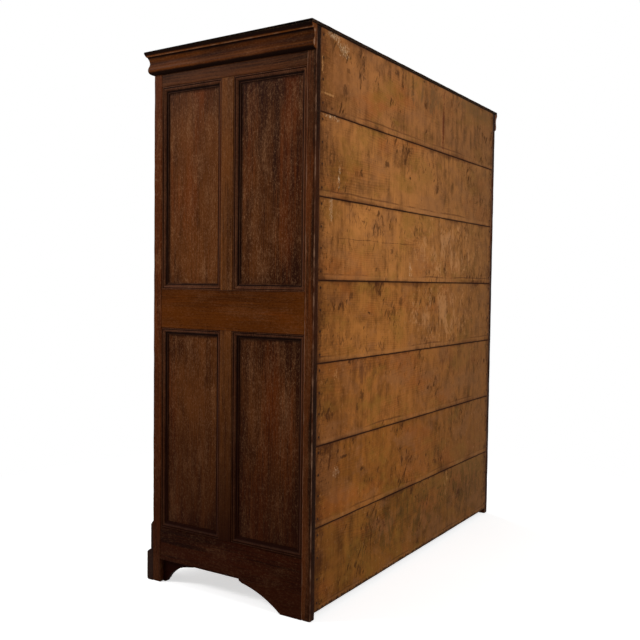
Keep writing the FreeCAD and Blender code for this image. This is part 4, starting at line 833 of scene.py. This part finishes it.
make("front_crown", [strip(CORNICE_PROFILE, (-HALF, FRONT, TOP), (0, -1, 0), (0, 0, 1), (1, 0, 0), 2 * HALF,
                           (-1.0, 1.0))],
     front_crown_stain, "carcase", ["front_cornice"], crease=25.0)
for side_name, side in SIDES.items():
    make(side_name + "_crown", [strip(CORNICE_PROFILE, (side * HALF, FRONT, TOP), (side, 0, 0), (0, 0, 1),
                                      (0, 1, 0), BACK - FRONT, (-1.0, 0.0), end_wear=1.2)],
         side_crown_stain, "carcase", [side_name + "_cornice"], crease=25.0)


SUNK = 0.0085


def sunk_corner(board):
    """The top board with its worn front corner at the right end sunk.

    Its points drop by SUNK * end ** 1.5 * front ** 1.2 * height. end and front rise from 0 to 1 toward the
    corner along X and Y, and height does from the board's lower face to its upper one.
    """
    end = np.clip((board[..., 0] - 0.2) / 0.56, 0, 1)
    front = np.clip((0.25 - board[..., 1]) / 0.58, 0, 1)
    board[..., 2] -= SUNK * end ** 1.5 * front ** 1.2 * (board[..., 2] - TOP) / (ROOF - TOP)
    return board


flat_board, worn_edges = bar((-HALF - OVERHANG, FRONT - OVERHANG, TOP), (HALF + OVERHANG, BACK, ROOF),
                             "x", 700, arris=0.0028, wear=-0.4)
make("top", [(sunk_corner(flat_board), worn_edges)], top_stain, "carcase", ["top_board"])


# Doors

# The ends' moulding, made shallower
DOOR_PROFILE = END_PROFILE.copy()
DOOR_PROFILE[:, 1] = np.where(END_PROFILE[:, 1] <= -END_PANEL_DEPTH[0], -DOOR_PANEL_DEPTH[0],
                              END_PROFILE[:, 1] * 0.82 - 0.0003)


def door_bar(run, depth, up, along, seed):
    """A member of a door: its run along X, its depth back from the front, its height."""
    return bar((run[0], FRONT + depth[0], up[0]), (run[1], FRONT + depth[1], up[1]), along, seed)


door_levels = ((DOOR_RAILS["bottom"][1], DOOR_RAILS["lock"][0]),
               (DOOR_RAILS["lock"][1], DOOR_RAILS["top"][0]))
for side_name, side in SIDES.items():
    body = side_name + "_door"
    seed = 900 + 100 * side
    hinge = (side * (DOOR_RUN[1] - DOOR_STILE), side * DOOR_RUN[1])
    inner = sorted((side * (DOOR_RUN[0] + DOOR_STILE), hinge[0]))
    make(body + "_hanging_stile",
         [door_bar(hinge, (0, DOOR_THICK), (DOOR_RAILS["bottom"][0], DOOR_RAILS["top"][1]), "z", seed)],
         door_upright, body, [body + "_hinge_stile"])
    for rail, up in DOOR_RAILS.items():
        make(f"{body}_{rail}_bar", [door_bar(inner, (0, DOOR_THICK), up, "x", seed + len(rail))],
             door_level, body, [f"{body}_{rail}_rail"])
    make(body + "_boards",
         [door_bar((inner[0] - DOOR_TONGUE, inner[1] + DOOR_TONGUE), DOOR_PANEL_DEPTH,
                   (up[0] - DOOR_TONGUE, up[1] + DOOR_TONGUE), "z", seed + 20 + number)
          for number, up in enumerate(door_levels)],
         door_panel, body, [body + "_panels"])
    strips = []
    for up in door_levels:
        strips += moulding_frame(DOOR_PROFILE, (inner[0], FRONT, up[0]), (1, 0, 0), (0, 0, 1), (0, -1, 0),
                                 inner[1] - inner[0], up[1] - up[0])
    make(body + "_beads", strips, door_bead, body, [body + "_mouldings"], crease=25.0)


# A brass plate round the keyhole: an oval, thin at its rim, with the hole's outline inside

KEY_X, KEY_Z = 0.0255, 0.9057
OVAL_HALF = (0.0135, 0.0190)
EYE_RADIUS, EYE_UP = 0.0036, 0.0045
SLOT_HALF, SLOT_FOOT = 0.0016, -0.0089
PLATE_THICK, HOLE_THICK, RIM_THICK = 0.0012, 0.0009, 0.0006
turns = np.linspace(0, 2 * np.pi, 48, endpoint=False)
circle = np.stack([np.sin(turns), np.cos(turns)], -1)
oval = circle * OVAL_HALF
eye = circle * EYE_RADIUS + (0.0, EYE_UP)
slot = circle[:, 1] < -0.9
eye[slot] = np.stack([np.clip(oval[slot, 0] * 0.35, -SLOT_HALF, SLOT_HALF),
                      np.full(slot.sum(), SLOT_FOOT)], -1)
plate = [(oval, 0.0), (oval, RIM_THICK), (oval * 0.9, PLATE_THICK), (eye * 1.08, PLATE_THICK),
         (eye, HOLE_THICK), (eye, 0.0)]
plate_rings = sweep([(KEY_X + loop[:, 0], FRONT - lift, KEY_Z + loop[:, 1]) for loop, lift in plate], 0)
make("keyhole_plate", [(plate_rings, 0.0)], brass, "right_door", [], hollow=True)


# Better finishes for the solids that keep their own shape

KEPT = {
    "left_door_meeting_stile": door_upright, "right_door_meeting_stile": door_upright,
    "front_top_rail": door_level, "front_bottom_rail": door_level, "bottom_board": inside_wood,
    "lower_shelf": inside_wood, "middle_shelf": inside_wood, "upper_shelf": inside_wood,
    "shelf_bearers": bearer_wood, "door_knob": knob_wood, "back_nails": nail_rust, "post_hinge_leaves": iron,
    "left_door_hinge_leaves": iron, "right_door_hinge_leaves": iron, "lock_case": iron, "bolt_plate": iron,
    "door_bolt": iron, "lock_bolt": brass,
}
for node, material in KEPT.items():
    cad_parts[node].material_slots[0].material = material


# Floor, light and camera

WHITE = (1.0, 1.0, 1.0, 1.0)
SKY_LIGHT = 0.25
FLOOR_GLOW = 0.62
FLOOR_REACH = 9.0
# The distances from the middle between which the floor fades to white
FADE = (1.1, 2.0)


def pale_floor():
    """Pale matt floor that takes the shadow near the cupboard and is seen plain white further off."""
    finish = Finish("pale_floor")
    x, y, z = finish.place()
    cloud = finish.cloud((x, y, z), 2.0, 0.5, scale=3.0)
    colour = finish.mix(paint(232, 232, 232), paint(238, 238, 238), cloud)
    matt = finish.add("ShaderNodeBsdfDiffuse", {}, {"Color": colour})
    glow = finish.add("ShaderNodeEmission", {}, {"Color": WHITE, "Strength": FLOOR_GLOW})
    white = finish.add("ShaderNodeEmission", {}, {"Color": WHITE, "Strength": 1.0})
    lit = finish.add("ShaderNodeAddShader", {}, {0: matt, 1: glow})
    faded = finish.add("ShaderNodeMixShader", {}, {0: finish.rise(hypotenuse(x, y), *FADE), 1: lit, 2: white})
    mixed = finish.add("ShaderNodeMixShader", {}, {0: finish.seen(), 1: matt, 2: faded})
    finish.add("ShaderNodeOutputMaterial", {}, {"Surface": mixed})
    return finish.block


def studio():
    """A world that lights softly and is plain white where it is seen."""
    finish = Finish("studio", bpy.data.worlds)
    lit = finish.add("ShaderNodeBackground", {}, {"Color": WHITE, "Strength": SKY_LIGHT})
    white = finish.add("ShaderNodeBackground", {}, {"Color": WHITE, "Strength": 1.0})
    choice = finish.add("ShaderNodeMixShader", {}, {0: finish.seen(), 1: lit, 2: white})
    finish.add("ShaderNodeOutputWorld", {}, {"Surface": choice})
    return finish.block


floor_mesh = bpy.data.meshes.new("floor")
floor_corners = ((-1, -1), (1, -1), (1, 1), (-1, 1))
floor_mesh.from_pydata([(x * FLOOR_REACH, y * FLOOR_REACH, 0) for x, y in floor_corners], [], [(0, 1, 2, 3)])
floor_mesh.materials.append(pale_floor())
floor = bpy.data.objects.new("floor", floor_mesh)
bpy.context.scene.collection.objects.link(floor)
bpy.context.scene.world = studio()


def lamp(name, place, target, size, watts):
    """A soft square lamp looking at a target."""
    light = bpy.data.lights.new(name, "AREA")
    light.size = size
    light.energy = watts
    holder = bpy.data.objects.new(name, light)
    holder.location = place
    holder.rotation_euler = (Vector(target) - Vector(place)).to_track_quat("-Z", "Y").to_euler()
    bpy.context.scene.collection.objects.link(holder)


lamp("back_lamp", (0.6, 4.4, 2.9), (0.0, 0.3, 1.2), 2.4, 120.0)
lamp("end_lamp", (3.5, -3.6, 3.6), (0.7, 0.0, 1.4), 1.3, 160.0)
lamp("front_lamp", (-2.2, -4.8, 3.2), (0.0, -0.3, 1.0), 3.0, 165.0)

# The camera stands where the photograph's edges put it. The focal length is in its pixels
FOCAL, PHOTO_WIDTH, SENSOR = 823.31, 640, 36.0
TURN, TILT, ROLL = -2.13358, 0.04413, 0.01243
EYE = (2.79936, 1.66296, 1.0274)
camera_data = bpy.data.cameras.new("camera")
camera_data.sensor_width = SENSOR
camera_data.lens = FOCAL / PHOTO_WIDTH * SENSOR
camera = bpy.data.objects.new("camera", camera_data)
turned = Matrix.Rotation(-TURN, 4, "Z") @ Matrix.Rotation(math.pi / 2 - TILT, 4, "X")
camera.matrix_world = Matrix.Translation(EYE) @ turned @ Matrix.Rotation(ROLL, 4, "Z")
bpy.context.scene.collection.objects.link(camera)
bpy.context.scene.camera = camera
bpy.context.scene.view_settings.view_transform = "Standard"
